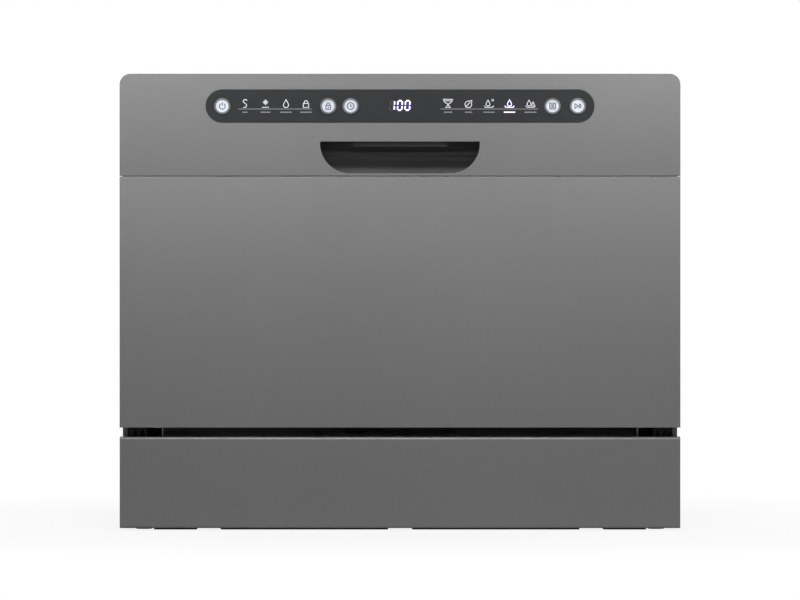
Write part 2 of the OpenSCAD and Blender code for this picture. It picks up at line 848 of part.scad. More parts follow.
module drain_pump() {
    color(black_plastic) union() {
        bar([drain_x, drain_x + 18], well[1], drain_z, 26);
        bar([drain_x + 18, drain_x + 66], well[1], drain_z, 21);
        rod(drain_x + 9, [well[1], drain_hose_start], drain_z + 12, hose_r);
    }
}

module drain_hose() {
    v = drain_hose_start;
    x = drain_x + 9;
    z = drain_z + 12;
    end = bay_wall - tray_wall - 10;
    color(rubber) hose([[x, v, z], [x, v + 7, z], [x, v + 22, z], [x + 9, v + 60, z - 6],
        [drain_out_x - 6, v + 108, z - 24], [drain_out_x, end - 56, fitting_z + 16],
        [drain_out_x, end - 24, fitting_z], [drain_out_x, end - 8, fitting_z],
        [drain_out_x, end, fitting_z]], hose_r);
}

module drain_outlet() {
    r = hose_r + 1;
    color(grey_plastic) difference() {
        union() {
            rod(drain_out_x, [bay_wall - tray_wall - 10, bay_wall + 19], fitting_z, r);
            rod(drain_out_x, [bay_wall - tray_wall - 4, bay_wall - tray_wall], fitting_z, r + 5);
            rod(drain_out_x, [bay_wall, bay_wall + 2.5], fitting_z, r + 4);
        }
        rod(drain_out_x, [bay_wall - tray_wall - 8, bay_wall + 20], fitting_z, r - 2.5);
    }
}

module inlet_valve() {
    back = bay_wall - tray_wall;
    color(white_plastic) difference() {
        union() {
            rod(inlet_x, [back - 20, bay_wall + 16], fitting_z, thread_r);
            rod(inlet_x, [back - 3, back], fitting_z, thread_r + 6);
            rod(inlet_x, [bay_wall, bay_wall + 2.5], fitting_z, thread_r + 3);
            block(about(inlet_x, [-18, 18]), about(back, [-42, -12]), about(fitting_z, [-18, 18]));
            rod(inlet_x, [back - 70, back - 42], fitting_z, 15);
            post([inlet_x, back - 28], [fitting_z, fitting_z + 32], fill_r);
        }
        rod(inlet_x, [back, bay_wall + 17], fitting_z, thread_r - 3.2);
    }
}

module fill_hose() {
    v = bay_wall - tray_wall - 28;
    x = -(tub_half + half_w) / 2;
    z = fitting_z + 32;
    top = tub_floor + 22;
    color(rubber) hose([[inlet_x, v, z], [inlet_x, v, z + 4], [inlet_x, v, z + 12],
        [inlet_x - 15, v - 6, z + 24], [inlet_x - 42, v - 26, z + 36], [x + 13, v - 60, top - 54],
        [x, (v + port_at[0] + 60) / 2 - 32, top - 38], [x, port_at[0] + 68, top - 30], [x, port_at[0] + 60, top - 14],
        [x, port_at[0] + 60, top - 5], [x, port_at[0] + 60, top]], fill_r);
}

module air_break() {
    inner = tub_half + sheet + 2;
    color(white_plastic) mirror([1, 0, 0]) union() {
        block([inner, cabinet_half - sheet - 2], about(port_at[0], [-90, 90]), [tub_floor + 22, tub_ceiling - 26]);
        bar([tub_half - 2.5, inner], port_at[0], port_at[1], port_r);
        bar([tub_half - 3, tub_half], port_at[0], port_at[1], port_r + 6);
    }
}

module heater() {
    terminal_r = heater_tube_r + 1;
    color(stainless) union() {
        translate([hub[0], front_y + hub[1], heater_z]) rotate([0, 0, heater_start])
            rotate_extrude(angle = 180 - 2 * heater_start)
                translate([heater_r, 0]) circle(heater_tube_r);
        for (a = [heater_start, 180 - heater_start]) {
            at = hub + heater_r * [cos(a), sin(a)];
            post(at, [tub_floor - 30, heater_z + terminal_r], terminal_r);
            post(at, [tub_floor - 6, tub_floor - sheet], terminal_r + 4);
        }
    }
}

module float_switch() {
    color(black_plastic) difference() {
        union() {
            block(about(float_at[0], [-11, 11]), about(float_at[1], [-16, 16]), about(tub_floor, [-46, -26]));
            post(float_at, about(tub_floor, [-27, 2]), float_hole_r - 0.5);
            post(float_at, about(tub_floor, [0, 2]), float_hole_r + 3);
        }
        post(float_at, about(tub_floor, [-30, 3]), 3.6);
    }
}

module overflow_float() {
    color(white_plastic) union() {
        post(float_at, about(tub_floor, [2.3, 20]), float_r);
        post(float_at, about(tub_floor, [-24, 4]), 3.3);
    }
}

module cable_gland() {
    color(black_plastic) difference() {
        union() {
            rod(gland_x, [bay_wall - tray_wall - 8, bay_wall + 14], fitting_z, gland_r);
            rod(gland_x, [bay_wall, bay_wall + 5], fitting_z, gland_r + 4);
        }
        rod(gland_x, [bay_wall - tray_wall - 9, bay_wall + 15], fitting_z, 4);
    }
}

// Door

module door_skin() {
    color(paint) difference() {
        union() {
            difference() {
                block([-half_w, half_w], [0, door_edge], [door_low, skin_top]);
                block([sheet - half_w, half_w - sheet], [sheet, door_edge + cut],
                    [door_low + sheet, skin_top - sheet]);
                block([-half_w + 30, half_w - 30], [door_edge - 8, door_edge + cut],
                    [skin_top - 5, skin_top + cut]);
            }
            both() block([half_w - edge_flange - sheet, half_w], [door_edge - sheet, door_edge],
                [hinge_slot_top + 4, skin_top]);
        }
        both() {
            block(hinge_slot_x, [3, door_edge + cut], [door_low - cut, door_low + 2]);
            for (z = skin_screws) rod(door_screw_x, [door_edge - 5, door_edge + cut], z, screw_hole_r);
        }
    }
}

module recess_outline(grow) {
    x = recess_w / 2 + grow;
    z = [recess_low - grow, recess_top + grow];
    r = recess_r + grow;
    t = recess_top_r + grow;
    area([-x, x], [z[0] + r, z[1] - t]);
    area([t - x, x - t], [z[0] + r, z[1]]);
    for (px = [t - x, x - t]) translate([px, z[1] - t]) circle(t);
    area([r - x, x - r], z);
    intersection() {
        for (px = [r - x, x - r]) translate([px, z[0] + r]) circle(r);
        area([-x, x], [z[0], z[1] - t]);
    }
}

module window_outline(grow) {
    r = window_h / 2 + grow;
    x = window_w / 2 - window_h / 2;
    translate([0, window_z]) {
        area([-x, x], [-r, r]);
        for (px = [-x, x]) translate([px, 0]) circle(r);
    }
}

module control_fascia() {
    w = fascia_wall;
    color(paint) difference() {
        union() {
            difference() {
                deep([0, door_edge]) rounded_top([-half_w, half_w], [fascia_low, height], corner_r);
                deep([w, door_edge + cut])
                    rounded_top([w - half_w, half_w - w], [fascia_low - cut, height - w], corner_r - w);
            }
            both() for (z = fascia_screws) rod(door_screw_x, [w - cut, door_edge], z, 4.6);
            // posts that carry the circuit board
            both() for (x = [30, 120]) rod(x, [w - cut, board_v], window_z + 12, 2.5);
        }
        deep([-cut, w + cut]) recess_outline(0);
        deep([-cut, window_t]) window_outline(0.15);
        for (x = button_places) rod(x, [0, w + cut], window_z, button_r + button_play);
        block(display_x + [-1, 1], [0, w + cut], display_z + [-1, 1]);
        both() for (z = fascia_screws) rod(door_screw_x, [10, door_edge + cut], z, screw_hole_r);
    }
}

module control_lens() {
    color(black_plastic) difference() {
        deep([0, window_t]) window_outline(0);
        for (x = button_places) rod(x, [-cut, window_t + cut], window_z, button_r + button_play);
    }
}

module control_board() {
    half = window_w / 2 - 6;
    color([0.1, 0.35, 0.2]) union() {
        block([-half, half], [board_v, board_v + board_t], about(window_z, [-14.5, 14.5]));
        block(display_x, [window_t + slack, board_v], display_z);
        for (x = button_places) rod(x, [board_v - 2, board_v], window_z, 3);
    }
}

module push_button(x) {
    color(silver) difference() {
        union() {
            rod(x, [-button_proud, fascia_wall + 1], window_z, button_r);
            rod(x, [fascia_wall + slack, fascia_wall + 1], window_z, button_r + 1.4);
            rod(x, [fascia_wall, board_v - 2 - button_travel - 0.2], window_z, 2.5);
        }
        rod(x, [-button_proud - cut, 0.5 - button_proud], window_z, button_r * 0.78);
    }
}

module power_button() {
    push_button(power_x);
}

module lock_button() {
    push_button(lock_x);
}

module delay_button() {
    push_button(delay_x);
}

module program_button() {
    push_button(program_x);
}

module start_button() {
    push_button(start_x);
}

// the side view of the recess: a floor that curves up into the back wall
module recess_profile(grow) {
    r = recess_back_r + grow;
    back = recess_depth + grow;
    low = recess_low - grow;
    area([-5, back - r], [low, recess_top + grow]);
    area([0, back], [low + r, recess_top + grow]);
    intersection() {
        translate([back - r, low + r]) circle(r);
        area([-5, back], [low, recess_top + grow]);
    }
}

module handle_cup() {
    front = fascia_wall;
    shaft_half = lever_w / 2 + 2;
    color(black_plastic) difference() {
        union() {
            intersection() {
                deep([front, recess_depth + cup_wall]) recess_outline(cup_wall);
                wide([-recess_w, recess_w]) recess_profile(cup_wall);
            }
            deep([front, front + 2]) difference() {
                area([-recess_w / 2 - 8, recess_w / 2 + 8], [fascia_low + 0.4, recess_top + 8]);
                recess_outline(cup_wall / 2);
            }
            // ears that carry the lever and the hook
            both() {
                block([shaft_half, shaft_half + 2.5], [lever_v - 5, lever_v + 5],
                    [recess_top, lever_z + 5]);
                block(ear_x, [10, 20], [recess_top, hook_z + 4]);
            }
            bar([-ear_x[1], ear_x[1]], hook_v, hook_z, strike_r);
        }
        intersection() {
            deep([-cut, recess_depth]) recess_outline(0);
            wide([-recess_w, recess_w]) recess_profile(0);
        }
        block([-lever_w / 2 - 1.5, lever_w / 2 + 1.5], [lever_v - 7.5, lever_v + 3],
            [recess_top - 1, recess_top + cup_wall + 0.4]);
        bar([-shaft_half - 4, shaft_half + 4], lever_v, lever_z, lever_shaft_r + pin_play);
    }
}

module handle_lever() {
    shaft_half = lever_w / 2 + 4;
    color(black_plastic) union() {
        bar([-shaft_half, shaft_half], lever_v, lever_z, lever_shaft_r);
        difference() {
            block([-lever_w / 2, lever_w / 2], about(lever_v, [-1.5, 1.5]),
                [recess_top - lever_drop, lever_z]);
            both() block(ear_x + [-0.4, 0.4], [0, 40], [recess_top - 0.5, lever_z + 10]);
        }
        block([-latch_x, latch_x], about(lever_v, [-4.3, -1.8]), [lever_z - 5, lever_z + 16]);
        block([-latch_x, latch_x], about(lever_v, [-4.3, 1.5]), [lever_z - 5, lever_z]);
    }
}

module latch_hook() {
    nose = strike_v + strike_r + 0.5;
    color(galvanised) difference() {
        wide([-latch_x, latch_x]) union() {
            translate([hook_v, hook_z]) circle(4);
            area([hook_v, nose + hook_t], about(hook_z, [4.9 - hook_t, 4.9]));
            area([nose, nose + hook_t], about(hook_z, [-1.4, 4.9]));
            area(about(hook_v, [-2.5, 0.5]), about(hook_z, [-37, 0]));
        }
        bar([-latch_x - cut, latch_x + cut], hook_v, hook_z, strike_r + pin_play);
    }
}

module liner_profile(inset) {
    r = apron_r - inset;
    area([door_edge - (inset > 0 ? cut : 0), door_thick - inset], [hinge_z, liner_top - inset]);
    intersection() {
        translate([hinge_back, hinge_z]) circle(r, $fn = 192);
        area([apron_front, door_thick], [hinge_z - apron_r, hinge_z + cut]);
    }
}

module inner_door() {
    color(stainless) difference() {
        union() {
            deep([door_edge, door_edge + sheet])
                rounded_top([-rim_half, rim_half], [rim_low, rim_top], corner_r - 2);
            intersection() {
                wide([-liner_half, liner_half]) liner_profile(0);
                deep([door_edge, door_thick])
                    rounded_top([-liner_half, liner_half], [0, liner_top], 16);
            }
        }
        intersection() {
            wide([sheet - liner_half, liner_half - sheet]) liner_profile(sheet);
            deep([0, door_thick]) rounded_top([sheet - liner_half, liner_half - sheet],
                [0, liner_top - sheet], 16 - sheet);
        }
        // the curved apron is open towards the plinth
        block([sheet - liner_half, liner_half - sheet], [0, apron_front + cut], [0, hinge_z]);
        both() block(hinge_slot_x, [door_edge - cut, door_edge + 2], [0, hinge_slot_top]);
        block([-4, 4], [door_edge - cut, door_edge + 2], about(hook_z, [-4, 9]));
        both() for (z = concat(skin_screws, fascia_screws))
            rod(door_screw_x, [door_edge - 5, door_edge + 5], z, screw_hole_r);
        block(dispenser_x + [3, -3], [door_edge, door_thick + cut], dispenser_z + [3, -3]);
    }
}

module dispenser_body() {
    face = door_thick + dispenser_proud;
    color(grey_plastic) difference() {
        union() {
            deep([door_thick, face]) rounded(dispenser_x, dispenser_z, 8);
            block(dispenser_x + [3.3, -3.3], [door_thick - 26, door_thick], dispenser_z + [3.3, -3.3]);
        }
        block(cup_x, [door_thick - 20, face + cut], cup_z);
        rod(cap_at[0], [door_thick - 15, face + cut], cap_at[1], 14);
    }
}

module dispenser_lid() {
    face = door_thick + dispenser_proud + 0.2;
    color(white_plastic) union() {
        block(cup_x + [-5, 5], about(face, [0, lid_t]), cup_z + [-5, 5]);
        block([cup_x[0] + 6, cup_x[0] + 9], about(face, [lid_t - 0.5, lid_t + 3]), cup_z + [14, -14]);
    }
}

module rinse_aid_cap() {
    face = door_thick + dispenser_proud + 0.2;
    color(white_plastic) union() {
        rod(cap_at[0], about(face, [0, 1.5]), cap_at[1], 17);
        rod(cap_at[0], [door_thick - 8, face + 1], cap_at[1], 13.7);
        block(about(cap_at[0], [-2, 2]), about(face, [1, 4.5]), about(cap_at[1], [-12, 12]));
    }
}

module door_screws() {
    color(galvanised) both() for (z = concat(skin_screws, fascia_screws)) {
        rod(door_screw_x, [door_edge - 7, door_edge + sheet], z, screw_r);
        rod(door_screw_x, about(door_edge + sheet, [0, 1.4]), z, head_r - 0.5);
    }
}

// Rack

module rack_frame() {
    low = rack_floor;
    f = rack_front + wire_d / 2;
    b = rack_rear - wire_d / 2;
    s = rack_half - wire_d / 2;
    up = rim_z;
    tine_rows = [for (k = [0 : 2]) rack_front + tine_first + tine_pitch * k];
    color(grey_plastic) union() {
        for (i = [0 : long_wires]) {
            x = -s + 2 * s * i / long_wires;
            wire([x, f, low], [x, b, low], wire_d);
            wire([x, f, low], [x, f, up], wire_d);
            wire([x, b, low], [x, b, up], wire_d);
        }
        for (j = [1 : cross_wires - 1]) {
            v = f + (b - f) * j / cross_wires;
            wire([-s, v, low], [s, v, low], wire_d);
            wire([-s, v, low], [-s, v, up], wire_d);
            wire([s, v, low], [s, v, up], wire_d);
        }
        for (v = [f, b]) {
            wire([-s, v, low], [s, v, low], wire_d);
            wire([-s, v, low + (up - low) / 2], [s, v, low + (up - low) / 2], wire_d);
            wire([-s, v, up], [s, v, up], rim_d);
        }
        for (x = [-s, s]) {
            wire([x, f, low + (up - low) / 2], [x, b, low + (up - low) / 2], wire_d);
            rod(x, [f, b], up, rim_d / 2);
        }
        for (v = tine_rows) {
            wire([-s, v, low], [s, v, low], wire_d);
            for (i = [0.5 : 1 : long_wires - 0.5]) {
                x = -s + 2 * s * i / long_wires;
                wire([x, v, low], [x, v, low + tine_h], tine_d);
            }
        }
        // stub axles on short plates under the side wires
        both() for (v = wheel_places) {
            block([s - 1.5, s + 1.5], about(v, [-7, 7]), [wheel_z - 6, low]);
            bar([s, wheel_in + wheel_w + 1], v, wheel_z, axle_r);
        }
    }
}

module rack_wheel(side, v) {
    color(white_plastic) mirror([side < 0 ? 1 : 0, 0, 0]) difference() {
        union() {
            bar([wheel_in, wheel_in + wheel_w], v, wheel_z, wheel_r);
            bar([wheel_in - 0.6, wheel_in + wheel_w], v, wheel_z, axle_r + 3);
        }
        bar([wheel_in - 2, wheel_in + wheel_w + cut], v, wheel_z, axle_r + pin_play);
        bar([wheel_in + wheel_w - 2, wheel_in + wheel_w + cut], v, wheel_z, wheel_r - 4);
    }
}

module front_left_wheel() {
    rack_wheel(-1, wheel_places[0]);
}

module front_right_wheel() {
    rack_wheel(1, wheel_places[0]);
}

module rear_left_wheel() {
    rack_wheel(-1, wheel_places[1]);
}

module rear_right_wheel() {
    rack_wheel(1, wheel_places[1]);
}

module cutlery_basket() {
    wall = 2;
    cells = 4;
    x = about(basket_at[0], [0, basket_w]);
    v = about(basket_at[1], [0, basket_d]);
    z = about(basket_low, [0, basket_h]);
    cell_w = (basket_w - wall) / cells;
    color(grey_plastic) difference() {
        union() {
            difference() {
                block(x, v, z);
                for (k = [0 : cells - 1])
                    block(about(x[0] + wall, [k * cell_w, (k + 1) * cell_w - wall]), v + [wall, -wall],
                        z + [wall, cut]);
            }
            // carrying loop
            block([x[0] + cell_w, x[1] - cell_w], about((v[0] + v[1]) / 2, [-2, 2]), about(z[1], [-20, 14]));
        }
        block([x[0] + cell_w + 8, x[1] - cell_w - 8], [v[0], v[1]], about(z[1], [-12, 8]));
        for (k = [0 : cells - 1], j = [0 : 2])
            block(about(x[0] + wall + cell_w * k, [6, cell_w - 8]), v + [-cut, cut],
                about(z[0] + 12 + 24 * j, [0, 14]));
    }
}

module cup_shelf() {
    x = rack_half - wire_d / 2;
    v = [shelf_rings[0] - shelf_ring_l, shelf_rings[1] + shelf_ring_l];
    slots = 8;
    pitch = (v[1] - v[0]) / slots;
    low = rim_z + rim_d / 2 + 1;
    color(grey_plastic) mirror([1, 0, 0]) difference() {
        union() {
            block([x - shelf_w, x + 2], v, [low, low + 3]);
            for (r = shelf_rings) {
                rod(x, about(r, [-shelf_ring_l / 2, shelf_ring_l / 2]), rim_z, rim_d / 2 + 2.5);
                block(about(x, [-5, 2]), about(r, [-shelf_ring_l / 2, shelf_ring_l / 2]), [rim_z, low + 1]);
            }
        }
        for (r = shelf_rings)
            rod(x, about(r, [-shelf_ring_l, shelf_ring_l]), rim_z, rim_d / 2 + 0.1);
        for (k = [0 : slots - 1])
            block([x - shelf_w + 8, x - 12], about(v[0] + pitch * k, [4, pitch - 4]), [low - cut, low + 5]);
    }
}

base_tray();
rubber_feet();
plinth();
left_side_panel();
right_side_panel();
top_panel();
rear_cover();
tub();
door_gasket();
lower_tub_seal();
left_hinge_bracket();
right_hinge_bracket();
door_springs();
latch_striker();
sump();
filter_plate();
micro_filter();
spray_hub();
spray_arm();
softener();
salt_cap();
wash_pump();
pump_impeller();
drain_pump();
heater();
inlet_valve();
drain_outlet();
air_break();
drain_hose();
fill_hose();
float_switch();
overflow_float();
cable_gland();
cabinet_screws();
door_skin();
control_fascia();
control_lens();
control_board();
handle_cup();
inner_door();
dispenser_body();
dispenser_lid();
rinse_aid_cap();
left_hinge_arm();
right_hinge_arm();
door_screws();
power_button();
lock_button();
delay_button();
program_button();
start_button();
handle_lever();
latch_hook();
rack_frame();
front_left_wheel();
front_right_wheel();
rear_left_wheel();
rear_right_wheel();
cutlery_basket();
cup_shelf();
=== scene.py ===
import math

import bmesh
import bpy
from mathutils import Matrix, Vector


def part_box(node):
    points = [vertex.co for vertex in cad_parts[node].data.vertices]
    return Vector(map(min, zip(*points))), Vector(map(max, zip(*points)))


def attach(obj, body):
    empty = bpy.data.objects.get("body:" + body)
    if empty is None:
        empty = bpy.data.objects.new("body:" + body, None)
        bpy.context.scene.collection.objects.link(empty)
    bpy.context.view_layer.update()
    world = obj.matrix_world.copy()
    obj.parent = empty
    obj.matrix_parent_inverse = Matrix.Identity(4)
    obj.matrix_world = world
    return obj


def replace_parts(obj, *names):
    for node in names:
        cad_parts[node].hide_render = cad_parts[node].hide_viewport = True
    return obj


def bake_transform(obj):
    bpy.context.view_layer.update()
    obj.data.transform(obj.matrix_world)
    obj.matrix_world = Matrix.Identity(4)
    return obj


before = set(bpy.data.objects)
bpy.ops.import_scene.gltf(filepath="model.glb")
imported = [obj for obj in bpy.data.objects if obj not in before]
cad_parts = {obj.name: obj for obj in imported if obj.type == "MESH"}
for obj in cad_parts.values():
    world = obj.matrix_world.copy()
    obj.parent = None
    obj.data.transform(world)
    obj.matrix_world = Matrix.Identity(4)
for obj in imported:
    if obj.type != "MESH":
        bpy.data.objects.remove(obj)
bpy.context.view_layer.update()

# Studio: straight in front of the door, level with the middle of the cabinet, through a long lens.
# The floor and the air behind are white to the eye, and the floor keeps the machine's soft shadow.
door_face = -0.2494
camera_distance = 5.0
metres_per_pixel = 0.98065e-3
view_height = 0.2261
frame_width = 800

scene = bpy.context.scene
scene.view_settings.view_transform = "Standard"

camera_data = bpy.data.cameras.new("camera")
camera_data.lens = camera_data.sensor_width * camera_distance / (frame_width * metres_per_pixel)
camera_data.clip_end = 60
camera = bpy.data.objects.new("camera", camera_data)
camera.location = (0, door_face - camera_distance, view_height)
camera.rotation_euler = (math.radians(90), 0, 0)
scene.collection.objects.link(camera)
scene.camera = camera


def node_tree(material):
    """The emptied node tree of a material or world, with a shortcut that adds nodes to it."""
    material.use_nodes = True
    tree = material.node_tree
    tree.nodes.clear()

    def add(kind, **values):
        node = tree.nodes.new("ShaderNode" + kind)
        for key, value in values.items():
            if hasattr(node, key):
                setattr(node, key, value)
            else:
                node.inputs[key.replace("_", " ")].default_value = value
        return node

    def join(source, target):
        tree.links.new(source, target)

    return add, join


ambient_level = 0.20
world = bpy.data.worlds.new("studio_air")
scene.world = world
add, join = node_tree(world)
rays = add("LightPath")
seen = add("Math", operation="MAXIMUM")
join(rays.outputs["Is Camera Ray"], seen.inputs[0])
join(rays.outputs["Is Transmission Ray"], seen.inputs[1])
lit_air = add("Background", Color=(1, 1, 1, 1), Strength=ambient_level)
seen_air = add("Background", Color=(1, 1, 1, 1), Strength=1)
mix = add("MixShader")
join(seen.outputs[0], mix.inputs[0])
join(lit_air.outputs[0], mix.inputs[1])
join(seen_air.outputs[0], mix.inputs[2])
join(mix.outputs[0], add("OutputWorld").inputs["Surface"])

floor_mesh = bpy.data.meshes.new("studio_floor")
reach = 30
floor_mesh.from_pydata([(-reach, -reach, 0), (reach, -reach, 0), (reach, reach, 0), (-reach, reach, 0)],
                       [], [(0, 1, 2, 3)])
floor = bpy.data.objects.new("studio_floor", floor_mesh)
scene.collection.objects.link(floor)
floor_material = bpy.data.materials.new("pale_floor")
add, join = node_tree(floor_material)
place = add("TexCoord")
far = add("VectorMath", operation="LENGTH")
join(place.outputs["Object"], far.inputs[0])
whiteness = add("MapRange", From_Min=0.3, From_Max=0.8, To_Min=0.86, To_Max=1.0)
join(far.outputs["Value"], whiteness.inputs["Value"])
rays = add("LightPath")
seen = add("Math", operation="MAXIMUM")
join(rays.outputs["Is Camera Ray"], seen.inputs[0])
join(rays.outputs["Is Transmission Ray"], seen.inputs[1])
share = add("Math", operation="MULTIPLY")
join(seen.outputs[0], share.inputs[0])
join(whiteness.outputs[0], share.inputs[1])
paper = add("BsdfDiffuse", Color=(0.82, 0.82, 0.82, 1))
white = add("Emission", Color=(1, 1, 1, 1), Strength=1)
mix = add("MixShader")
join(share.outputs[0], mix.inputs[0])
join(paper.outputs[0], mix.inputs[1])
join(white.outputs[0], mix.inputs[2])
join(mix.outputs[0], add("OutputMaterial").inputs["Surface"])
floor_mesh.materials.append(floor_material)


def soft_box(name, at, aim, size, power, beam=180):
    """A rectangular studio lamp at a point, turned to another, with a grid that narrows its beam where named."""
    lamp = bpy.data.lights.new(name, "AREA")
    lamp.shape = "RECTANGLE"
    lamp.size, lamp.size_y = size
    lamp.energy = power
    lamp.spread = math.radians(beam)
    stand = bpy.data.objects.new(name, lamp)
    stand.location = at
    stand.rotation_euler = (Vector(aim) - Vector(at)).to_track_quat("-Z", "Y").to_euler()
    scene.collection.objects.link(stand)


soft_box("key_lamp", (0.05, -1.80, 0.95), (0.05, -0.25, 0.46), (1.7, 0.45), 1.15, 60)
soft_box("near_lamp", (0, -0.60, 0.80), (0, -0.25, 0.42), (0.9, 0.16), 1.17, 66)
soft_box("left_corner_lamp", (-0.36, -0.60, 0.74), (-0.30, -0.25, 0.50), (0.30, 0.14), 0.27, 70)
soft_box("right_corner_lamp", (0.40, -0.60, 0.74), (0.34, -0.25, 0.50), (0.30, 0.14), 0.27, 70)
soft_box("top_lamp", (0.1, 0.2, 1.9), (0, 0, 0.3), (1.4, 1.0), 9)
soft_box("side_lamp", (1.9, -0.5, 0.9), (0, 0, 0.25), (0.8, 1.0), 5)
soft_box("rear_lamp", (-0.4, 1.9, 1.1), (0, 0, 0.25), (1.2, 0.8), 9)


# Outer panels: folded steel sheet, sprayed with a fine metallic grey and baked.
# The edges are the bends and the deburred cuts of the sheet, so each carries a small radius.
sheet_grey = (0.220, 0.220, 0.220)
sheet_bend = 0.0004


def spread(add, join, source, low, high, start=0.3, end=0.7):
    """A texture's middle range, spread over a range of values."""
    node = add("MapRange", From_Min=start, From_Max=end, To_Min=low, To_Max=high)
    join(source, node.inputs["Value"])
    return node.outputs[0]


def toned(add, join, colour, factor):
    """A colour that a factor makes lighter or darker from place to place."""
    tone = add("VectorMath", operation="SCALE")
    tone.inputs[0].default_value = colour
    join(factor, tone.inputs["Scale"])
    return tone.outputs[0]


def relief(add, join, height, strength, depth, over=None):
    """A fine relief in the face, on its own or over another."""
    bump = add("Bump", Strength=strength, Distance=depth)
    join(height, bump.inputs["Height"])
    if over:
        join(over, bump.inputs["Normal"])
    return bump.outputs["Normal"]


def coated(add, join, tone, gloss=None, normal=None, **values):
    """The finish itself, from its tone, gloss and relief."""
    shader = add("BsdfPrincipled", **values)
    for socket, source in (("Base Color", tone), ("Roughness", gloss), ("Normal", normal)):
        if source:
            join(source, shader.inputs[socket])
    join(shader.outputs[0], add("OutputMaterial").inputs["Surface"])
    return shader


def metallic_paint(name, colour, roughness=0.46, metal=0.55):
    """Sprayed paint with metal flakes: a speckle finer than a millimetre over a faint orange peel."""
    material = bpy.data.materials.new(name)
    add, join = node_tree(material)
    place = add("TexCoord")
    flakes = add("TexNoise", Scale=1500, Detail=2, Roughness=0.8)
    peel = add("TexNoise", Scale=260, Detail=3, Roughness=0.5)
    cloud = add("TexNoise", Scale=5, Detail=2, Roughness=0.5)
    for noise in (flakes, peel, cloud):
        join(place.outputs["Object"], noise.inputs["Vector"])
    both = add("Math", operation="MULTIPLY")
    join(spread(add, join, flakes.outputs["Fac"], 0.76, 1.24), both.inputs[0])
    join(spread(add, join, cloud.outputs["Fac"], 0.975, 1.025), both.inputs[1])
    gloss = spread(add, join, flakes.outputs["Fac"], roughness - 0.06, roughness + 0.06)
    grain = relief(add, join, flakes.outputs["Fac"], 0.25, 0.00004)
    wave = relief(add, join, peel.outputs["Fac"], 0.12, 0.0001, grain)
    coated(add, join, toned(add, join, colour, both.outputs[0]), gloss, wave, Metallic=metal, IOR=1.5)
    return material


def dress(node, material, edge=None, sides=2):
    """Gives a carried-over node its material and, where edge is given, rounds its sharp edges to it."""
    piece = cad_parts[node]
    piece.data.materials.clear()
    piece.data.materials.append(material)
    if edge:
        weld = piece.modifiers.new("weld", "WELD")
        weld.merge_threshold = 2e-6
        bevel = piece.modifiers.new("edge", "BEVEL")
        bevel.width, bevel.segments = edge, sides
        bevel.limit_method, bevel.angle_limit = "ANGLE", math.radians(40)
        bevel.use_clamp_overlap = True
        bevel.harden_normals = True
    return piece


sheet_paint = metallic_paint("sheet_paint", sheet_grey)
for panel in ("door_skin", "plinth", "left_side_panel", "right_side_panel", "top_panel"):
    dress(panel, sheet_paint, sheet_bend, 3)


# Control fascia: one injection moulding across the top of the door, painted to match the sheet.
# It carries the window, the buttons and the handle cup, and screws to the door's flange from inside.
# The fascia's grey is set darker than the sheet's grey as painted shade, to offset the stronger light that the key
# lamp throws on the top of the door.
fascia_paint = metallic_paint("fascia_paint", (0.177, 0.177, 0.177), 0.44)
dress("control_fascia", fascia_paint, 0.0012, 4)


# Control window: a dark acrylic strip pressed into the fascia flush with its face, polished,
# and printed from behind. Light comes through it only at the display and the lit symbols.
window_height = 0.4163


def polished(name, colour, roughness, wear=0.02, metallic=0.0, coat=0.0):
    """A smooth moulded or polished face with the faint waviness and haze of handling."""
    material = bpy.data.materials.new(name)
    add, join = node_tree(material)
    place = add("TexCoord")
    haze = add("TexNoise", Scale=90, Detail=4, Roughness=0.6)
    ripple = add("TexNoise", Scale=35, Detail=1, Roughness=0.4)
    for noise in (haze, ripple):
        join(place.outputs["Object"], noise.inputs["Vector"])
    gloss = spread(add, join, haze.outputs["Fac"], max(roughness - wear, 0.01), roughness + wear)
    tone = toned(add, join, colour, spread(add, join, haze.outputs["Fac"], 0.94, 1.06))
    wave = relief(add, join, ripple.outputs["Fac"], 0.08, 0.0002)
    coated(add, join, tone, gloss, wave, Metallic=metallic, IOR=1.49, Coat_Weight=coat, Coat_Roughness=0.03)
    return material


dress("control_lens", polished("dark_acrylic", (0.026, 0.027, 0.028), 0.16), 0.00025)


# Window print and display: white and blue-grey symbols under the acrylic, a thin rule below each
# group with a tick for each symbol, one lit drop, and a three-figure display of seven bars each.
print_depth = 0.00004


def mark_material(name, colour, glow=0.0):
    """Printed or lit ink: a slightly uneven, matt line, which glows by its glow value: from a lamp behind it where
    the print is lit, and as painted light on unlit print.
    """
    material = bpy.data.materials.new(name)
    add, join = node_tree(material)
    place = add("TexCoord")
    speck = add("TexNoise", Scale=4000, Detail=1)
    join(place.outputs["Object"], speck.inputs["Vector"])
    tone = toned(add, join, colour, spread(add, join, speck.outputs["Fac"], 0.9, 1.1))
    shader = coated(add, join, tone, Roughness=0.5, Emission_Strength=glow)
    if glow:
        join(tone, shader.inputs["Emission Color"])
    return material


def arc(x, z, r, start, end, steps=20):
    """Points along an arc, from one angle to another in degrees, counted from the right."""
    return [(x + r * math.cos(math.radians(start + (end - start) * k / steps)),
             z + r * math.sin(math.radians(start + (end - start) * k / steps))) for k in range(steps + 1)]


def drop(x, z, r):
    """The outline of a water drop: a bowl below and two sides that meet in a point."""
    return [(x, z + 2.1 * r)] + arc(x, z, r, 150, 390, 16) + [(x, z + 2.1 * r)]


def put(strokes, x, z, scale=1.0):
    """Strokes drawn round the origin, moved to a place."""
    return [[(x + px * scale, z + pz * scale) for px, pz in line] for line in strokes]


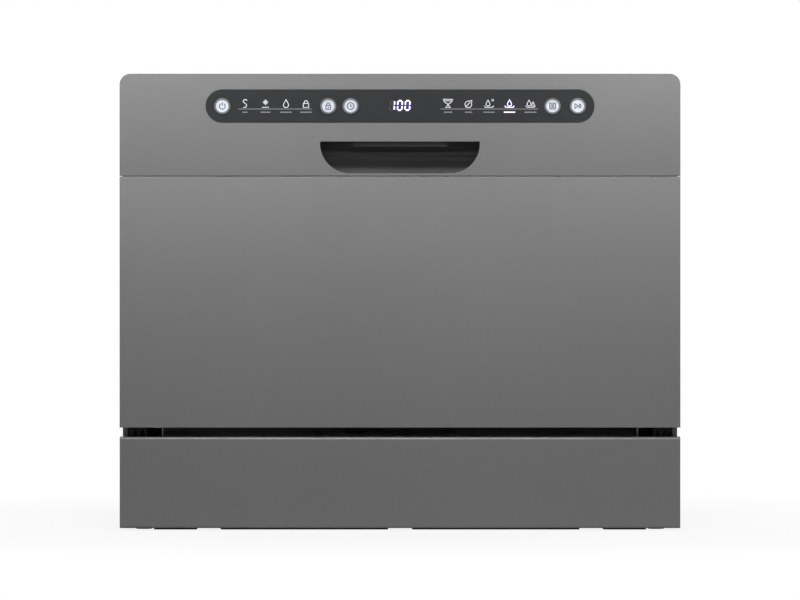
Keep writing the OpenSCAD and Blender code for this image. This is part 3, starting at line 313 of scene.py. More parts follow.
def drawn(name, strokes, width, material, depth, height=window_height):
    """Flat ribbons, a hair thick, along strokes in mm beside the window's middle."""
    mesh = bmesh.new()
    thick = print_depth
    for line in strokes:
        points = [Vector(p) for p in line]
        shut = (points[0] - points[-1]).length < 1e-6
        edges = []
        for k, p in enumerate(points):
            before = points[k - 1] if k else (points[-2] if shut else p)
            after = points[k + 1] if k + 1 < len(points) else (points[1] if shut else p)
            a = (p - before).normalized() if (p - before).length else (after - p).normalized()
            b = (after - p).normalized() if (after - p).length else a
            along = (a + b).normalized() if (a + b).length > 1e-3 else a
            side = Vector((-along.y, along.x)) * width / 2 / max(along.dot(a), 0.55)
            pair = []
            for q in (p + side, p - side):
                for d in (depth, depth - thick):
                    pair.append(mesh.verts.new((q.x / 1000, door_face + d, height + q.y / 1000)))
            edges.append(pair)
        for m, n in zip(edges, edges[1:]):
            mesh.faces.new((m[1], n[1], n[3], m[3]))
            mesh.faces.new((m[0], m[2], n[2], n[0]))
            mesh.faces.new((m[0], n[0], n[1], m[1]))
            mesh.faces.new((m[2], m[3], n[3], n[2]))
        mesh.faces.new((edges[0][0], edges[0][1], edges[0][3], edges[0][2]))
        mesh.faces.new((edges[-1][0], edges[-1][2], edges[-1][3], edges[-1][1]))
    bmesh.ops.recalc_face_normals(mesh, faces=mesh.faces)
    data = bpy.data.meshes.new(name)
    mesh.to_mesh(data)
    mesh.free()
    data.materials.append(material)
    piece = bpy.data.objects.new(name, data)
    scene.collection.objects.link(piece)
    return piece


curl = [(2.2, 3.2), (0.6, 4.2), (-1.4, 3.6), (-1.8, 2.2), (-0.4, 0.8), (1.4, -0.6), (1.6, -2.2), (0.4, -3.6),
        (-1.8, -3.4)]
glint = [[(0, 4.2), (0, -1.2)], [(-2.7, 1.5), (2.7, 1.5)], [(-1.6, 3.1), (1.6, -0.1)], [(-1.6, -0.1), (1.6, 3.1)],
         [(-3.4, -3.4), (3.4, -3.4)]]
padlock = [[(-2.6, -3.6), (2.6, -3.6), (2.6, 0.4), (-2.6, 0.4), (-2.6, -3.6)], arc(0, 1.4, 1.7, 180, 0, 10),
           [(-1.7, 1.4), (-1.7, 0.4)], [(1.7, 1.4), (1.7, 0.4)]]
half_goblet = [(4.5, 4.4), (3.7, 2.2), (2.2, 0.8), (0.5, 0), (0.5, -1.7), (2.4, -3.6)]
goblet = [half_goblet + [(-px, pz) for px, pz in half_goblet[::-1]] + half_goblet[:1], [(-3.2, 2.9), (3.2, 2.9)]]
bowl = [(-4.7, -1.9), (-3.6, -3.4), (3.6, -3.4), (4.7, -1.9)]
leaf = [arc(-0.2, -0.6, 3.6, 200, 80, 12) + [(3.6, 3.6)] + arc(-0.2, -0.6, 3.6, 20, -160, 12),
        [(-3.4, -3.8), (1.8, 1.8)]]
quick_drop = [drop(-1, -0.3, 1.9), [(2.6, 4.6), (4.6, 2.6)], [(2.6, 2.6), (4.6, 4.6)], bowl]
two_drops = [drop(-1.4, -0.3, 1.9), drop(2.4, -0.9, 1.3), bowl]
# The grey symbols, the rules and the ticks are unlit print: the small glow each of them is given is painted light.
grey_ink_painted_glow = mark_material("grey_ink_painted_glow", (0.52, 0.53, 0.56), 0.12)
left_symbols = put([curl], -152.0, 2.2) + put(glint, -131.9, 2.2) + put([drop(0, -1.2, 2.5)], -111.8, 2.2) \
    + put(padlock, -92.2, 2.2)
right_symbols = put(goblet, 47.1, 2.2) + put(leaf, 67.2, 2.2, 0.9) + put(quick_drop, 87.3, 2.2) \
    + put(two_drops, 128.0, 2.2)
rules = [[(-158.4, -2.9), (-86.8, -2.9)], [(39.7, -2.9), (135.3, -2.9)]]
ticks = [[(x - half, -6.0), (x + half, -6.0)] for x, half in (
    (-152.0, 2.5), (-131.9, 4.9), (-111.8, 5.6), (-92.2, 5.6), (47.1, 4.2), (67.2, 3.6), (87.3, 5.4), (128.0, 5.8))]
lit_ink = mark_material("lit_ink", (0.66, 0.62, 0.98), 0.75)
for name, strokes, width, ink in (
        ("window_symbols", left_symbols + right_symbols, 0.78, grey_ink_painted_glow),
        ("window_rules", rules, 0.5, mark_material("faint_ink_painted_glow", (0.25, 0.25, 0.265), 0.06)),
        ("window_ticks", ticks, 1.0, mark_material("middle_ink_painted_glow", (0.20, 0.20, 0.215), 0.05)),
        ("lit_drop", put([drop(0, -0.3, 2.0), bowl], 107.4, 2.2), 0.85, lit_ink),
        ("lit_tick", [[(101.8, -6.0), (113.0, -6.0)]], 1.1, lit_ink)):
    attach(drawn(name, strokes, width, ink, 0), "door")

figure_half, figure_height, figure_middle = 2.15, 4.6, 0.6
bars = {"top": ((-1, 1), (1, 1)), "upper_left": ((-1, 1), (-1, 0)), "upper_right": ((1, 1), (1, 0)),
        "middle": ((-1, 0), (1, 0)), "lower_left": ((-1, 0), (-1, -1)), "lower_right": ((1, 0), (1, -1)),
        "bottom": ((-1, -1), (1, -1))}
shown = {1: ("upper_right", "lower_right"),
         0: ("top", "upper_left", "upper_right", "lower_left", "lower_right", "bottom")}
lit, unlit = [], []
for x, value in ((-7.6, 1), (-0.1, 0), (7.4, 0)):
    for name, ends in bars.items():
        a, b = (Vector((e[0] * figure_half, e[1] * figure_height)) for e in ends)
        inward = (b - a).normalized() * 0.6
        line = [(x + p.x + 0.06 * p.y, figure_middle + p.y) for p in (a + inward, b - inward)]
        (lit if name in shown[value] else unlit).append(line)
for name, strokes, width, ink, depth in (
        ("display_glow", lit, 3.0, mark_material("display_haze", (0.05, 0.035, 0.12), 0.35), 0),
        ("display_figures", lit, 1.25, mark_material("display_light", (0.72, 0.68, 1.0), 1.0), -print_depth),
        ("display_dark_bars", unlit, 1.1, mark_material("display_dark", (0.035, 0.035, 0.038)), -print_depth)):
    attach(drawn(name, strokes, width, ink, depth), "door")


# Push buttons: five silver-coated caps in the window, each a raised ring round a dished face
# with its symbol printed in the dish, guided in the fascia and sprung by the switch behind.
dish = -0.0007
ring_silver = polished("button_ring_silver", (0.165, 0.17, 0.18), 0.36, 0.05, metallic=0.4)
dish_silver = polished("button_dish_silver", (0.56, 0.59, 0.65), 0.44, 0.05, metallic=0.2)
symbol_ink = mark_material("dark_symbol_ink", (0.055, 0.06, 0.07))
power_mark = [arc(0, -0.2, 2.9, 120, 420, 24), [(0, 0.2), (0, 3.6)]]
lock_mark = [[(px * 0.85, pz * 0.95 + 0.3) for px, pz in line] for line in padlock] + [[(0, -2.2), (0, -0.7)]]
clock_mark = [arc(0, 0, 3.3, 0, 360, 28), [(0, 1.8), (0, 0), (1.4, -0.7)]]
program_mark = [[(-2.7, -2.9), (2.7, -2.9), (2.7, 2.9), (-2.7, 2.9), (-2.7, -2.9)]] \
    + [[(-1.5, z), (1.5, z)] for z in (1.3, 0, -1.3)]
start_mark = [[(-2.9, -2.3), (0.4, 0), (-2.9, 2.3), (-2.9, -2.3)], [(1.5, -2.2), (1.5, 2.2)],
              [(2.9, -2.2), (2.9, 2.2)]]
for name, x, mark in (("power", -174.3, power_mark), ("lock", -70.4, lock_mark), ("delay", -48.4, clock_mark),
                      ("program", 149.6, program_mark), ("start", 174.4, start_mark)):
    body = name + "_button"
    cap = dress(body, ring_silver, 0.0003)
    cap.data.materials.append(dish_silver)
    for face in cap.data.polygons:
        if abs(face.center.y - door_face - dish) < 1e-5:
            face.material_index = 1
    symbol = drawn(name + "_symbol", put(mark, x, 0), 0.95, symbol_ink, dish)
    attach(symbol, body)


# Handle cup and lever: a black glass-filled moulding behind the fascia that forms the finger recess.
# A full-width lever hangs in its mouth on a shaft, and lifts the latch hook when it is pulled.
def moulded(name, colour, roughness=0.5, grain=1800, depth=0.00004, sheen=0.5):
    """Plain moulded plastic: the fine etched texture of the mould and slight flow marks."""
    material = bpy.data.materials.new(name)
    add, join = node_tree(material)
    place = add("TexCoord")
    etch = add("TexNoise", Scale=grain, Detail=3, Roughness=0.6)
    flow = add("TexNoise", Scale=22, Detail=2, Roughness=0.5)
    for noise in (etch, flow):
        join(place.outputs["Object"], noise.inputs["Vector"])
    tone = toned(add, join, colour, spread(add, join, flow.outputs["Fac"], 0.92, 1.08))
    gloss = spread(add, join, etch.outputs["Fac"], roughness - 0.06, roughness + 0.06)
    texture = relief(add, join, etch.outputs["Fac"], 0.35, depth)
    coated(add, join, tone, gloss, texture, IOR=1.5, Specular_IOR_Level=sheen)
    return material


# The cup's grey is lighter than black plastic: partly its own charcoal, partly painted light for the soft lit band
# across its back that its shape doesn't catch. The lever's grey is lighter again, as painted light where the fascia's
# top edge shades it.
cup_charcoal_painted_light = moulded("cup_charcoal_painted_light", (0.070, 0.0705, 0.0715), 0.42)
dress("handle_cup", cup_charcoal_painted_light, 0.0003)
dress("handle_lever", moulded("lever_painted_light", (0.105, 0.106, 0.107), 0.38), 0.0005, 3)


# Inner door: a stainless pressing with a brushed face, crimped behind the skin's flange.
# Its lower edge curls forward into an apron that runs down past the hinge.
def brushed(name, colour, roughness=0.3, along="X", contrast=0.12, scale=700):
    """Sheet steel with the fine parallel scratches of its finishing belt."""
    material = bpy.data.materials.new(name)
    add, join = node_tree(material)
    place = add("TexCoord")
    stretch = add("Mapping")
    stretch.inputs["Scale"].default_value = [0.02 if axis == along else 1 for axis in "XYZ"]
    scratch = add("TexNoise", Scale=scale, Detail=3, Roughness=0.7)
    cloud = add("TexNoise", Scale=9, Detail=2)
    join(place.outputs["Object"], stretch.inputs["Vector"])
    join(stretch.outputs[0], scratch.inputs["Vector"])
    join(place.outputs["Object"], cloud.inputs["Vector"])
    tone = toned(add, join, colour, spread(add, join, scratch.outputs["Fac"], 1 - contrast, 1 + contrast))
    blur = add("Math", operation="ADD")
    join(scratch.outputs["Fac"], blur.inputs[0])
    join(cloud.outputs["Fac"], blur.inputs[1])
    gloss = spread(add, join, blur.outputs[0], roughness - 0.07, roughness + 0.07, 0.7, 1.3)
    grooves = relief(add, join, scratch.outputs["Fac"], 0.12, 0.00003)
    coated(add, join, tone, gloss, grooves, Metallic=1.0)
    return material


stainless = brushed("brushed_stainless", (0.56, 0.565, 0.57), 0.3)
dress("inner_door", stainless, 0.0004)


# Dispenser: a moulded box snapped through the inner door, with a sliding lid over the powder cup,
# a quarter-turn cap with an arrow at each side over the rinse aid, and a snap catch above the lid.
cap_at, catch_at, grip_pitch = (0.049, 0.259), (-0.060, 0.2955), 0.0028
dispenser_grey = moulded("dispenser_grey", (0.30, 0.315, 0.33), 0.42, 1200)
satin_white = moulded("satin_white", (0.62, 0.63, 0.62), 0.38, 1200)
dress("dispenser_body", dispenser_grey, 0.0006)
dress("dispenser_lid", satin_white, 0.0006)
dress("rinse_aid_cap", moulded("cap_blue_grey", (0.20, 0.27, 0.36), 0.36, 1200), 0.0005)


def solid(name, mesh, material, body=None, smooth=None):
    """Turns a bmesh into a piece with its material, riding on a body."""
    bmesh.ops.recalc_face_normals(mesh, faces=mesh.faces)
    data = bpy.data.meshes.new(name)
    mesh.to_mesh(data)
    mesh.free()
    data.materials.append(material)
    piece = bpy.data.objects.new(name, data)
    scene.collection.objects.link(piece)
    if smooth is not None:
        data.shade_smooth()
        data.set_sharp_from_angle(angle=math.radians(smooth))
    if body:
        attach(piece, body)
    return piece


def prism(mesh, outline, to_point, low, high):
    """A closed outline raised between two levels; to_point turns (u, v, level) into a place."""
    rings = [[mesh.verts.new(to_point(u, v, level)) for u, v in outline] for level in (low, high)]
    count = len(outline)
    for k in range(count):
        mesh.faces.new((rings[0][k], rings[0][(k + 1) % count], rings[1][(k + 1) % count], rings[1][k]))
    mesh.faces.new(rings[0])
    mesh.faces.new(rings[1][::-1])


def soft_outline(half_u, half_v, r, steps=6):
    """The corner points of a rectangle with rounded corners, round the origin."""
    points = []
    for cu, cv, start in ((1, 1, 0), (-1, 1, 90), (-1, -1, 180), (1, -1, 270)):
        points += [(cu * (half_u - r) + r * math.cos(math.radians(start + 90 * k / steps)),
                    cv * (half_v - r) + r * math.sin(math.radians(start + 90 * k / steps))) for k in range(steps + 1)]
    return points


def on_inner_face(x, z):
    """Turns a flat outline round a point into places that stand off the inner door, in mm."""
    return lambda u, v, level: (x + u / 1000, door_face + 0.062 + level / 1000, z + v / 1000)


catch = bmesh.new()
prism(catch, soft_outline(11, 2.4, 1.5), on_inner_face(*catch_at), 1.8, 3.4)
for k in range(-2, 3):
    prism(catch, soft_outline(0.7, 1.5, 0.4, 3), on_inner_face(catch_at[0] + grip_pitch * k, catch_at[1]), 3.3, 4.0)
solid("dispenser_catch", catch, satin_white, "door", 40)
arrows = bmesh.new()
for side in (-1, 1):
    prism(arrows, [(side * 1.2, 21), (side * 4.6, 23.2), (side * 4.6, 18.8)], on_inner_face(*cap_at), 1.9, 2.5)
solid("cap_turn_arrows", arrows, dispenser_grey, "door")


# Door gasket: one loop of extruded rubber round the mouth of the chamber, with a foot pressed on
# the flange and a hollow lip that the inner door squeezes.
seal_rubber = moulded("seal_rubber", (0.022, 0.022, 0.023), 0.6, 900, 0.00008)


def swept(mesh, route, profile, closed_profile=True, caps=True):
    """Sweeps a profile along a route. The route gives a place, a direction across and one out at each step."""
    rings = [[mesh.verts.new(at + across * u + out * v) for u, v in profile] for at, across, out in route]
    count = len(profile)
    for a, b in zip(rings, rings[1:]):
        for k in range(count if closed_profile else count - 1):
            mesh.faces.new((a[k], a[(k + 1) % count], b[(k + 1) % count], b[k]))
    if caps:
        mesh.faces.new(rings[0])
        mesh.faces.new(rings[-1][::-1])


def mouth_route(half, low, high, r, depth):
    """Up one side of the mouth, round its two upper corners and down the other side."""
    points = [(-half, low, 180), (-half, high - r, 180)]
    points += [(r - half + r * math.cos(math.radians(a)), high - r + r * math.sin(math.radians(a)), a)
               for a in range(170, 90, -10)]
    points += [(r - half, high, 90), (half - r, high, 90)]
    points += [(half - r + r * math.cos(math.radians(a)), high - r + r * math.sin(math.radians(a)), a)
               for a in range(80, 0, -10)]
    points += [(half, high - r, 0), (half, low, 0)]
    return [(Vector((x, depth, z)), Vector((math.cos(math.radians(a)), 0, math.sin(math.radians(a)))),
             Vector((0, -1, 0))) for x, z, a in points]


mouth_flange = door_face + 0.036
lip = [(-0.0046, 0), (0.0046, 0), (0.0046, 0.0035), (0.0028, 0.0048), (0.0036, 0.0072), (0.0030, 0.0100),
       (0.0012, 0.0122), (-0.0010, 0.0126), (-0.0032, 0.0112), (-0.0040, 0.0086), (-0.0028, 0.0062),
       (-0.0046, 0.0035)]
mouth_half, mouth_low, mouth_high, mouth_corner = 0.249, 0.1530, 0.4250, 0.017
gasket = bmesh.new()
swept(gasket, mouth_route(mouth_half, mouth_low, mouth_high, mouth_corner, mouth_flange), lip)
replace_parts(solid("mouth_gasket", gasket, seal_rubber, "root", 50), "door_gasket")


# Lower seal: a moulded rubber strip under the chamber's front lip that wipes the door's apron.
# A dark rubber lobe at each end fills the corner up to the side panel's fold, as painted shade: a dark block where
# the gap under the door shows only shadow.
dress("lower_tub_seal", seal_rubber)
seal_low, seal_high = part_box("lower_tub_seal")
lobe_end, lobe_gap = 0.2432, 0.0001
lobe_half = ((lobe_end - lobe_gap - seal_high[0]) / 2, (seal_high[2] - seal_low[2]) / 2)
lobe_mid = ((lobe_end + lobe_gap + seal_high[0]) / 2, (seal_high[2] + seal_low[2]) / 2)
# Near-black blocks in the gap's two corners, standing in for the shade there.
lobes = bmesh.new()
for side in (-1, 1):
    prism(lobes, soft_outline(lobe_half[0], lobe_half[1], 0.0004),
          lambda u, v, depth: Vector((side * (lobe_mid[0] + u), depth, lobe_mid[1] + v)),
          seal_low[1], seal_high[1] - 0.0002)
solid("seal_end_shade_lobes", lobes, seal_rubber, "root", 40)


# Cabinet back and base: a galvanised cover with pressed louvres, and a ribbed tray of black plastic
# that everything stands on, with four turned rubber feet.
zinc = brushed("galvanised_sheet", (0.47, 0.48, 0.485), 0.42, "Z", 0.07, 160)
base_black = moulded("base_black", (0.016, 0.0165, 0.017), 0.48)
dress("rear_cover", zinc)
dress("base_tray", base_black, 0.0005)
dress("cable_gland", base_black, 0.0006)
dress("rubber_feet", moulded("foot_rubber", (0.03, 0.03, 0.031), 0.7, 1500, 0.00008), 0.0006)

cover_back = door_face + 0.4985
louvre_low, louvre_pitch, louvre_half = 0.0842, 0.008, 0.031
louvres = bmesh.new()
for middle in (-0.140, 0.140):
    for k in range(8):
        z = louvre_low + louvre_pitch * k
        hood = [(0.0029, 0.0), (0.0033, 0.0007), (0.0041, 0.0007), (0.0045, 0.0001), (0.0038, 0.0001), (0.0034, 0.0)]
        steps = 10
        rings = []
        for j in range(steps + 1):
            t = 2 * j / steps - 1
            bulge = (1 - abs(t) ** 6)
            x = middle + louvre_half * t
            rings.append([louvres.verts.new((x, cover_back + d * (0.3 + 1.2 * bulge), z + h)) for h, d in hood])
        for a, b in zip(rings, rings[1:]):
            for j in range(len(hood)):
                louvres.faces.new((a[j], a[(j + 1) % len(hood)], b[(j + 1) % len(hood)], b[j]))
        louvres.faces.new(rings[0])
        louvres.faces.new(rings[-1][::-1])
solid("rear_louvres", louvres, zinc, "root", 45)


# Screws: zinc-plated pan heads with a cross recess, the same size all over the machine.
# Ten hold the cabinet's back together, and ten hold the door's skin and fascia to the inner door.
head_profile = ((0.0, 1.0), (0.25, 0.98), (0.5, 0.9), (0.7, 0.76), (0.86, 0.55), (0.96, 0.3), (1.0, 0.0))
shank_crest, shank_root, shank_pitch = 0.0019, 0.0016, 0.001


def screw(mesh, at, radius, height, length, turn):
    """A screw along Y: a domed head with a sunk cross, and a shank with rolled threads below it."""
    around, rings = 40, []
    for share in [k / 14 for k in range(15)]:
        ring = []
        for k in range(around):
            a = math.tau * k / around
            x, z = radius * share * math.cos(a), radius * share * math.sin(a)
            for (r0, h0), (r1, h1) in zip(head_profile, head_profile[1:]):
                if r0 <= share <= r1:
                    dome = h0 + (h1 - h0) * (share - r0) / (r1 - r0)
                    break
            u = abs(x * math.cos(turn) + z * math.sin(turn)) / radius
            v = abs(z * math.cos(turn) - x * math.sin(turn)) / radius
            sunk = 0.62 if (min(u, v) < 0.11 and max(u, v) < 0.55) else 0.0
            rise = height * (dome - sunk * (1 - 0.8 * max(u, v)))
            ring.append(mesh.verts.new((at[0] + x, at[1] + rise, at[2] + z)))
        rings.append(ring)
    bmesh.ops.remove_doubles(mesh, verts=rings[0], dist=1e-7)
    centre = [v for v in rings[0] if v.is_valid][0]
    for k in range(around):
        mesh.faces.new((centre, rings[1][k], rings[1][(k + 1) % around]))
    for a, b in zip(rings[1:], rings[2:]):
        for k in range(around):
            mesh.faces.new((a[k], b[k], b[(k + 1) % around], a[(k + 1) % around]))
    shank = [(radius, 0), (shank_crest, 0)]
    for k in range(int(length / shank_pitch)):
        shank += [(shank_crest, -shank_pitch * (k + 0.5)), (shank_root, -shank_pitch * (k + 1))]
    rows = [rings[-1]] + [[mesh.verts.new((at[0] + r * math.cos(math.tau * k / around), at[1] + back,
                                           at[2] + r * math.sin(math.tau * k / around))) for k in range(around)]
                          for r, back in shank[1:]]
    for a, b in zip(rows, rows[1:]):
        for k in range(around):
            mesh.faces.new((a[k], b[k], b[(k + 1) % around], a[(k + 1) % around]))
    mesh.faces.new(rows[-1])


plated = polished("plated_steel", (0.50, 0.51, 0.52), 0.3, 0.08, metallic=1.0)
cabinet_heads = [(side * 0.2662, z) for side in (-1, 1) for z in (0.0762, 0.1903, 0.3044, 0.4185)]
cabinet_heads += [(side * 0.090, 0.440) for side in (-1, 1)]
screws = bmesh.new()
for k, (x, z) in enumerate(cabinet_heads):
    screw(screws, (x, cover_back, z), 0.004, 0.0015, 0.008, 0.4 + 0.7 * k)
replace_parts(solid("cabinet_pan_screws", screws, plated, "root", 35), "cabinet_screws")
door_heads = [(side * 0.266, z) for side in (-1, 1) for z in (0.136, 0.226, 0.3292, 0.368, 0.426)]
screws = bmesh.new()
for k, (x, z) in enumerate(door_heads):
    screw(screws, (x, door_face + 0.023, z), 0.0035, 0.0014, 0.007, 0.2 + 0.9 * k)
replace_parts(solid("door_pan_screws", screws, plated, "door", 35), "door_screws")


# Hinges: stamped and galvanised arms and brackets, a pressed striker and hook for the latch.
for stamping in ("left_hinge_bracket", "right_hinge_bracket", "left_hinge_arm", "right_hinge_arm",
                 "latch_striker", "latch_hook"):
    dress(stamping, zinc, 0.0003)


# Door springs: close-wound tension springs of hard steel wire, one at each side under the chamber.
# The front hook goes through the tail of the hinge arm, and the back hook sits on a pin in the base.
spring_steel = brushed("spring_steel", (0.30, 0.30, 0.31), 0.32, "Y", 0.1, 900)


def tube(mesh, points, radius, sides=12, start=None):
    """A round tube along points, its ring turned on from step to step so that it never twists."""
    points = [Vector(p) for p in points]
    last = len(points) - 1
    tangents = [(points[min(k + 1, last)] - points[max(k - 1, 0)]).normalized() for k in range(last + 1)]
    across = start or Vector((1, 0, 0))
    rings = []
    for k, (p, t) in enumerate(zip(points, tangents)):
        across = (across - t * across.dot(t)).normalized()
        other = t.cross(across)
        r = radius(k) if callable(radius) else radius
        rings.append([mesh.verts.new(p + (across * math.cos(math.tau * j / sides)
                                          + other * math.sin(math.tau * j / sides)) * r) for j in range(sides)])
    for a, b in zip(rings, rings[1:]):
        for j in range(sides):
            mesh.faces.new((a[j], a[(j + 1) % sides], b[(j + 1) % sides], b[j]))
    mesh.faces.new(rings[0][::-1])
    mesh.faces.new(rings[-1])


spring_front = Vector((0, door_face + 0.042, 0.091))
spring_back = Vector((0, door_face + 0.262, 0.0302))
for side, name in ((-1, "left"), (1, "right")):
    run = spring_back - spring_front
    along = run.normalized()
    up = Vector((side, 0, 0)).cross(along)
    offset = Vector((side * 0.246, 0, 0))
    wire, coil = 0.0008, 0.0037
    path = [spring_front + Vector((side * 0.2555, 0, 0)), spring_front + Vector((side * 0.2500, 0, 0)),
            spring_front + offset + along * 0.002]
    path += [spring_front + offset + along * 0.030]
    turns, steps = 84, 14
    first, length = 0.041, 0.153
    for k in range(turns * steps + 1):
        a = math.tau * k / steps
        path.append(spring_front + offset + along * (first + length * k / (turns * steps))
                    + (Vector((side, 0, 0)) * math.cos(a) + up * math.sin(a)) * coil)
    path += [spring_front + offset + along * (run.length - 0.026),
             spring_front + offset + along * (run.length - 0.002),
             spring_back + Vector((side * 0.2440, 0, 0)), spring_back + Vector((side * 0.2405, 0, 0))]
    coiled = bmesh.new()
    tube(coiled, path, wire, 6, Vector((0, 0, 1)))
    spring = solid(name + "_door_spring", coiled, spring_steel, smooth=60)
    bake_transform(spring)
    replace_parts(spring, "door_springs")


# Wash chamber: a drawn and welded tub of stainless sheet, with the sump, softener neck, float and
# heater let into its floor.
dress("tub", brushed("tub_stainless", (0.55, 0.555, 0.56), 0.26, "Y"))
dress("sump", dispenser_grey, 0.0006)
dress("softener", satin_white, 0.0015)
dress("spray_hub", dispenser_grey, 0.0006)
dress("float_switch", base_black, 0.0005)
dress("overflow_float", satin_white, 0.0012, 3)
dress("heater", brushed("heater_sheath", (0.33, 0.32, 0.31), 0.34, "Z", 0.1, 500))


# Filters: a perforated stainless plate over the sump and a moulded cup with a fine mesh wall, which
# lifts out by its grip after a part turn.
dress("filter_plate", stainless)
mesh_cup = bpy.data.materials.new("filter_mesh")
add, join = node_tree(mesh_cup)
place = add("TexCoord")
weave = add("TexVoronoi", Scale=900, distance="CHEBYCHEV", Randomness=0.0)
join(place.outputs["Object"], weave.inputs["Vector"])
wires_and_holes = spread(add, join, weave.outputs["Distance"], 0.35, 1.0, 0.15, 0.4)
coated(add, join, toned(add, join, (0.30, 0.31, 0.33), wires_and_holes),
       normal=relief(add, join, weave.outputs["Distance"], 0.5, 0.0002), Roughness=0.45)
cup = dress("micro_filter", mesh_cup, 0.0004)
cup.data.materials.append(dispenser_grey)
for face in cup.data.polygons:
    if face.center.z > 0.1515:
        face.material_index = 1


# Salt cap: a screwed cap with a ribbed rim and a grip bar across it.
dress("salt_cap", dispenser_grey, 0.0006)
salt_x, salt_y, salt_rim_r, salt_ribs = -0.130, door_face + 0.215, 0.0299, 36
ribs = bmesh.new()
for k in range(salt_ribs):
    a = math.tau * k / salt_ribs
    out, side = Vector((math.cos(a), math.sin(a), 0)), Vector((-math.sin(a), math.cos(a), 0))
    centre = Vector((salt_x, salt_y, 0)) + out * salt_rim_r
    prism(ribs, [(-0.0009, -0.0006), (0.0009, -0.0006), (0.0005, 0.0007), (-0.0005, 0.0007)],
          lambda u, v, level: centre + side * u + out * v + Vector((0, 0, level)), 0.1586, 0.1608)
solid("salt_cap_ribs", ribs, dispenser_grey, "salt_cap")


# Spray arm: two blow-moulded shells welded into a hollow bar with rounded edges, a raised hub and
# slotted jets, which floats on the water that comes up the hub.
hub_y = door_face + 0.270
arm_low, arm_high, boss_high = 0.168, 0.178, 0.182
arm_half, arm_tip, boss_r, bore_r = 0.017, 0.166, 0.0225, 0.0071
quarter = [(arm_tip + arm_half * math.cos(math.radians(a)), arm_half * math.sin(math.radians(a)))
           for a in range(0, 91, 9)]
quarter += [(x / 1000, arm_half) for x in range(150, 25, -14)]
quarter += [(boss_r * math.cos(math.radians(a)), boss_r * math.sin(math.radians(a))) for a in range(52, 91, 6)]
outline = quarter + [(-x, y) for x, y in quarter[-2::-1]]
outline += [(x, -y) for x, y in outline[-2:0:-1]]
count = len(outline)


def arm_ring(inset, z):
    """The arm's outline, drawn in by an inset, at a height."""
    ring = []
    for k, (x, y) in enumerate(outline):
        (x0, y0), (x1, y1) = outline[k - 1], outline[(k + 1) % count]
        n = Vector((y1 - y0, x0 - x1)).normalized()
        ring.append((x - n.x * inset, hub_y + y - n.y * inset, z))
    return ring


def round_ring(r, z):
    """A circle on the arm's hub with a point in line with each point of the outline."""
    return [(r * x / math.hypot(x, y), hub_y + r * y / math.hypot(x, y), z) for x, y in outline]


levels = [round_ring(bore_r, arm_low), arm_ring(0.004, arm_low), arm_ring(0.0012, arm_low + 0.0008),
          arm_ring(0.0, arm_low + 0.003), arm_ring(0.0004, arm_low + 0.0056), arm_ring(0.0018, arm_high - 0.0018),
          arm_ring(0.005, arm_high - 0.0003), round_ring(0.0185, arm_high + 0.0002),
          round_ring(0.0165, boss_high - 0.0012), round_ring(0.0145, boss_high), round_ring(bore_r, boss_high)]
arm = bmesh.new()
rings = [[arm.verts.new(p) for p in level] for level in levels]
for a, b in zip(rings, rings[1:] + rings[:1]):
    for k in range(count):
        arm.faces.new((a[k], a[(k + 1) % count], b[(k + 1) % count], b[k]))
lip_of_jet = ((0, -0.0042), (0.0018, -0.0036), (0.0026, 0), (0.0018, 0.0036), (0, 0.0042))
for x, y in [(s * x / 1000, s * 0.006) for s in (-1, 1) for x in (45, 75, 105, 135, 162)]:
    for half in (-1, 1):
        prism(arm, [(half * (0.0005 + u), v) for u, v in lip_of_jet],
              lambda u, v, level: (x + v, hub_y + y + u, level), arm_high - 0.001, arm_high + 0.0011)
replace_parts(solid("moulded_spray_arm", arm, moulded("arm_grey", (0.26, 0.27, 0.285), 0.36, 1200), "spray_arm",
                  40), "spray_arm")


# Rack: bent and welded steel wire, dipped in grey nylon, so every wire ends in a rounded tip.
# Long wires and cross wires turn up into the sides, and rows of tines stand between them.
nylon = moulded("nylon_coating", (0.36, 0.375, 0.39), 0.34, 500, 0.00008)


def bent(points, r, steps=5):
    """Straight runs between points, with each inner corner bent to a radius."""
    points = [Vector(p) for p in points]
    path = [points[0]]
    for a, b, c in zip(points, points[1:], points[2:]):
        back, on = (a - b).normalized(), (c - b).normalized()
        reach = r / math.tan(back.angle(on) / 2)
        start, end = b + back * reach, b + on * reach
        centre = b + (back + on).normalized() * r / math.sin(back.angle(on) / 2)
        for k in range(steps + 1):
            turn = (start - centre).slerp(end - centre, k / steps)
            path.append(centre + turn.normalized() * r)
    return path + [points[-1]]


def coated_wire(mesh, points, d, bend=0.006, shut=False):
    """A wire along bent runs, whose ends taper into rounded tips unless it is a closed loop."""
    if shut:
        middle = (Vector(points[0]) + Vector(points[1])) / 2
        points = [middle] + list(points[1:]) + [points[0], middle]
    path = bent(points, bend)
    if not shut:
        first, last = (path[0] - path[1]).normalized(), (path[-1] - path[-2]).normalized()
        taper = (0, 0.0003, 0.0008, 0.0017)
        path = [path[0] - first * step for step in taper] + path[1:-1] \
            + [path[-1] - last * step for step in taper[::-1]]
    tips = {0: 0.35, 1: 0.62, 2: 0.86}
    count = len(path)
    tube(mesh, path, lambda k: d / 2 * (1 if shut else tips.get(min(k, count - 1 - k), 1)), 10,
         Vector((0.31, 0.87, 0.38)))


def y_at(depth):
    """The place of a distance in mm behind the door's face."""
    return door_face + depth / 1000


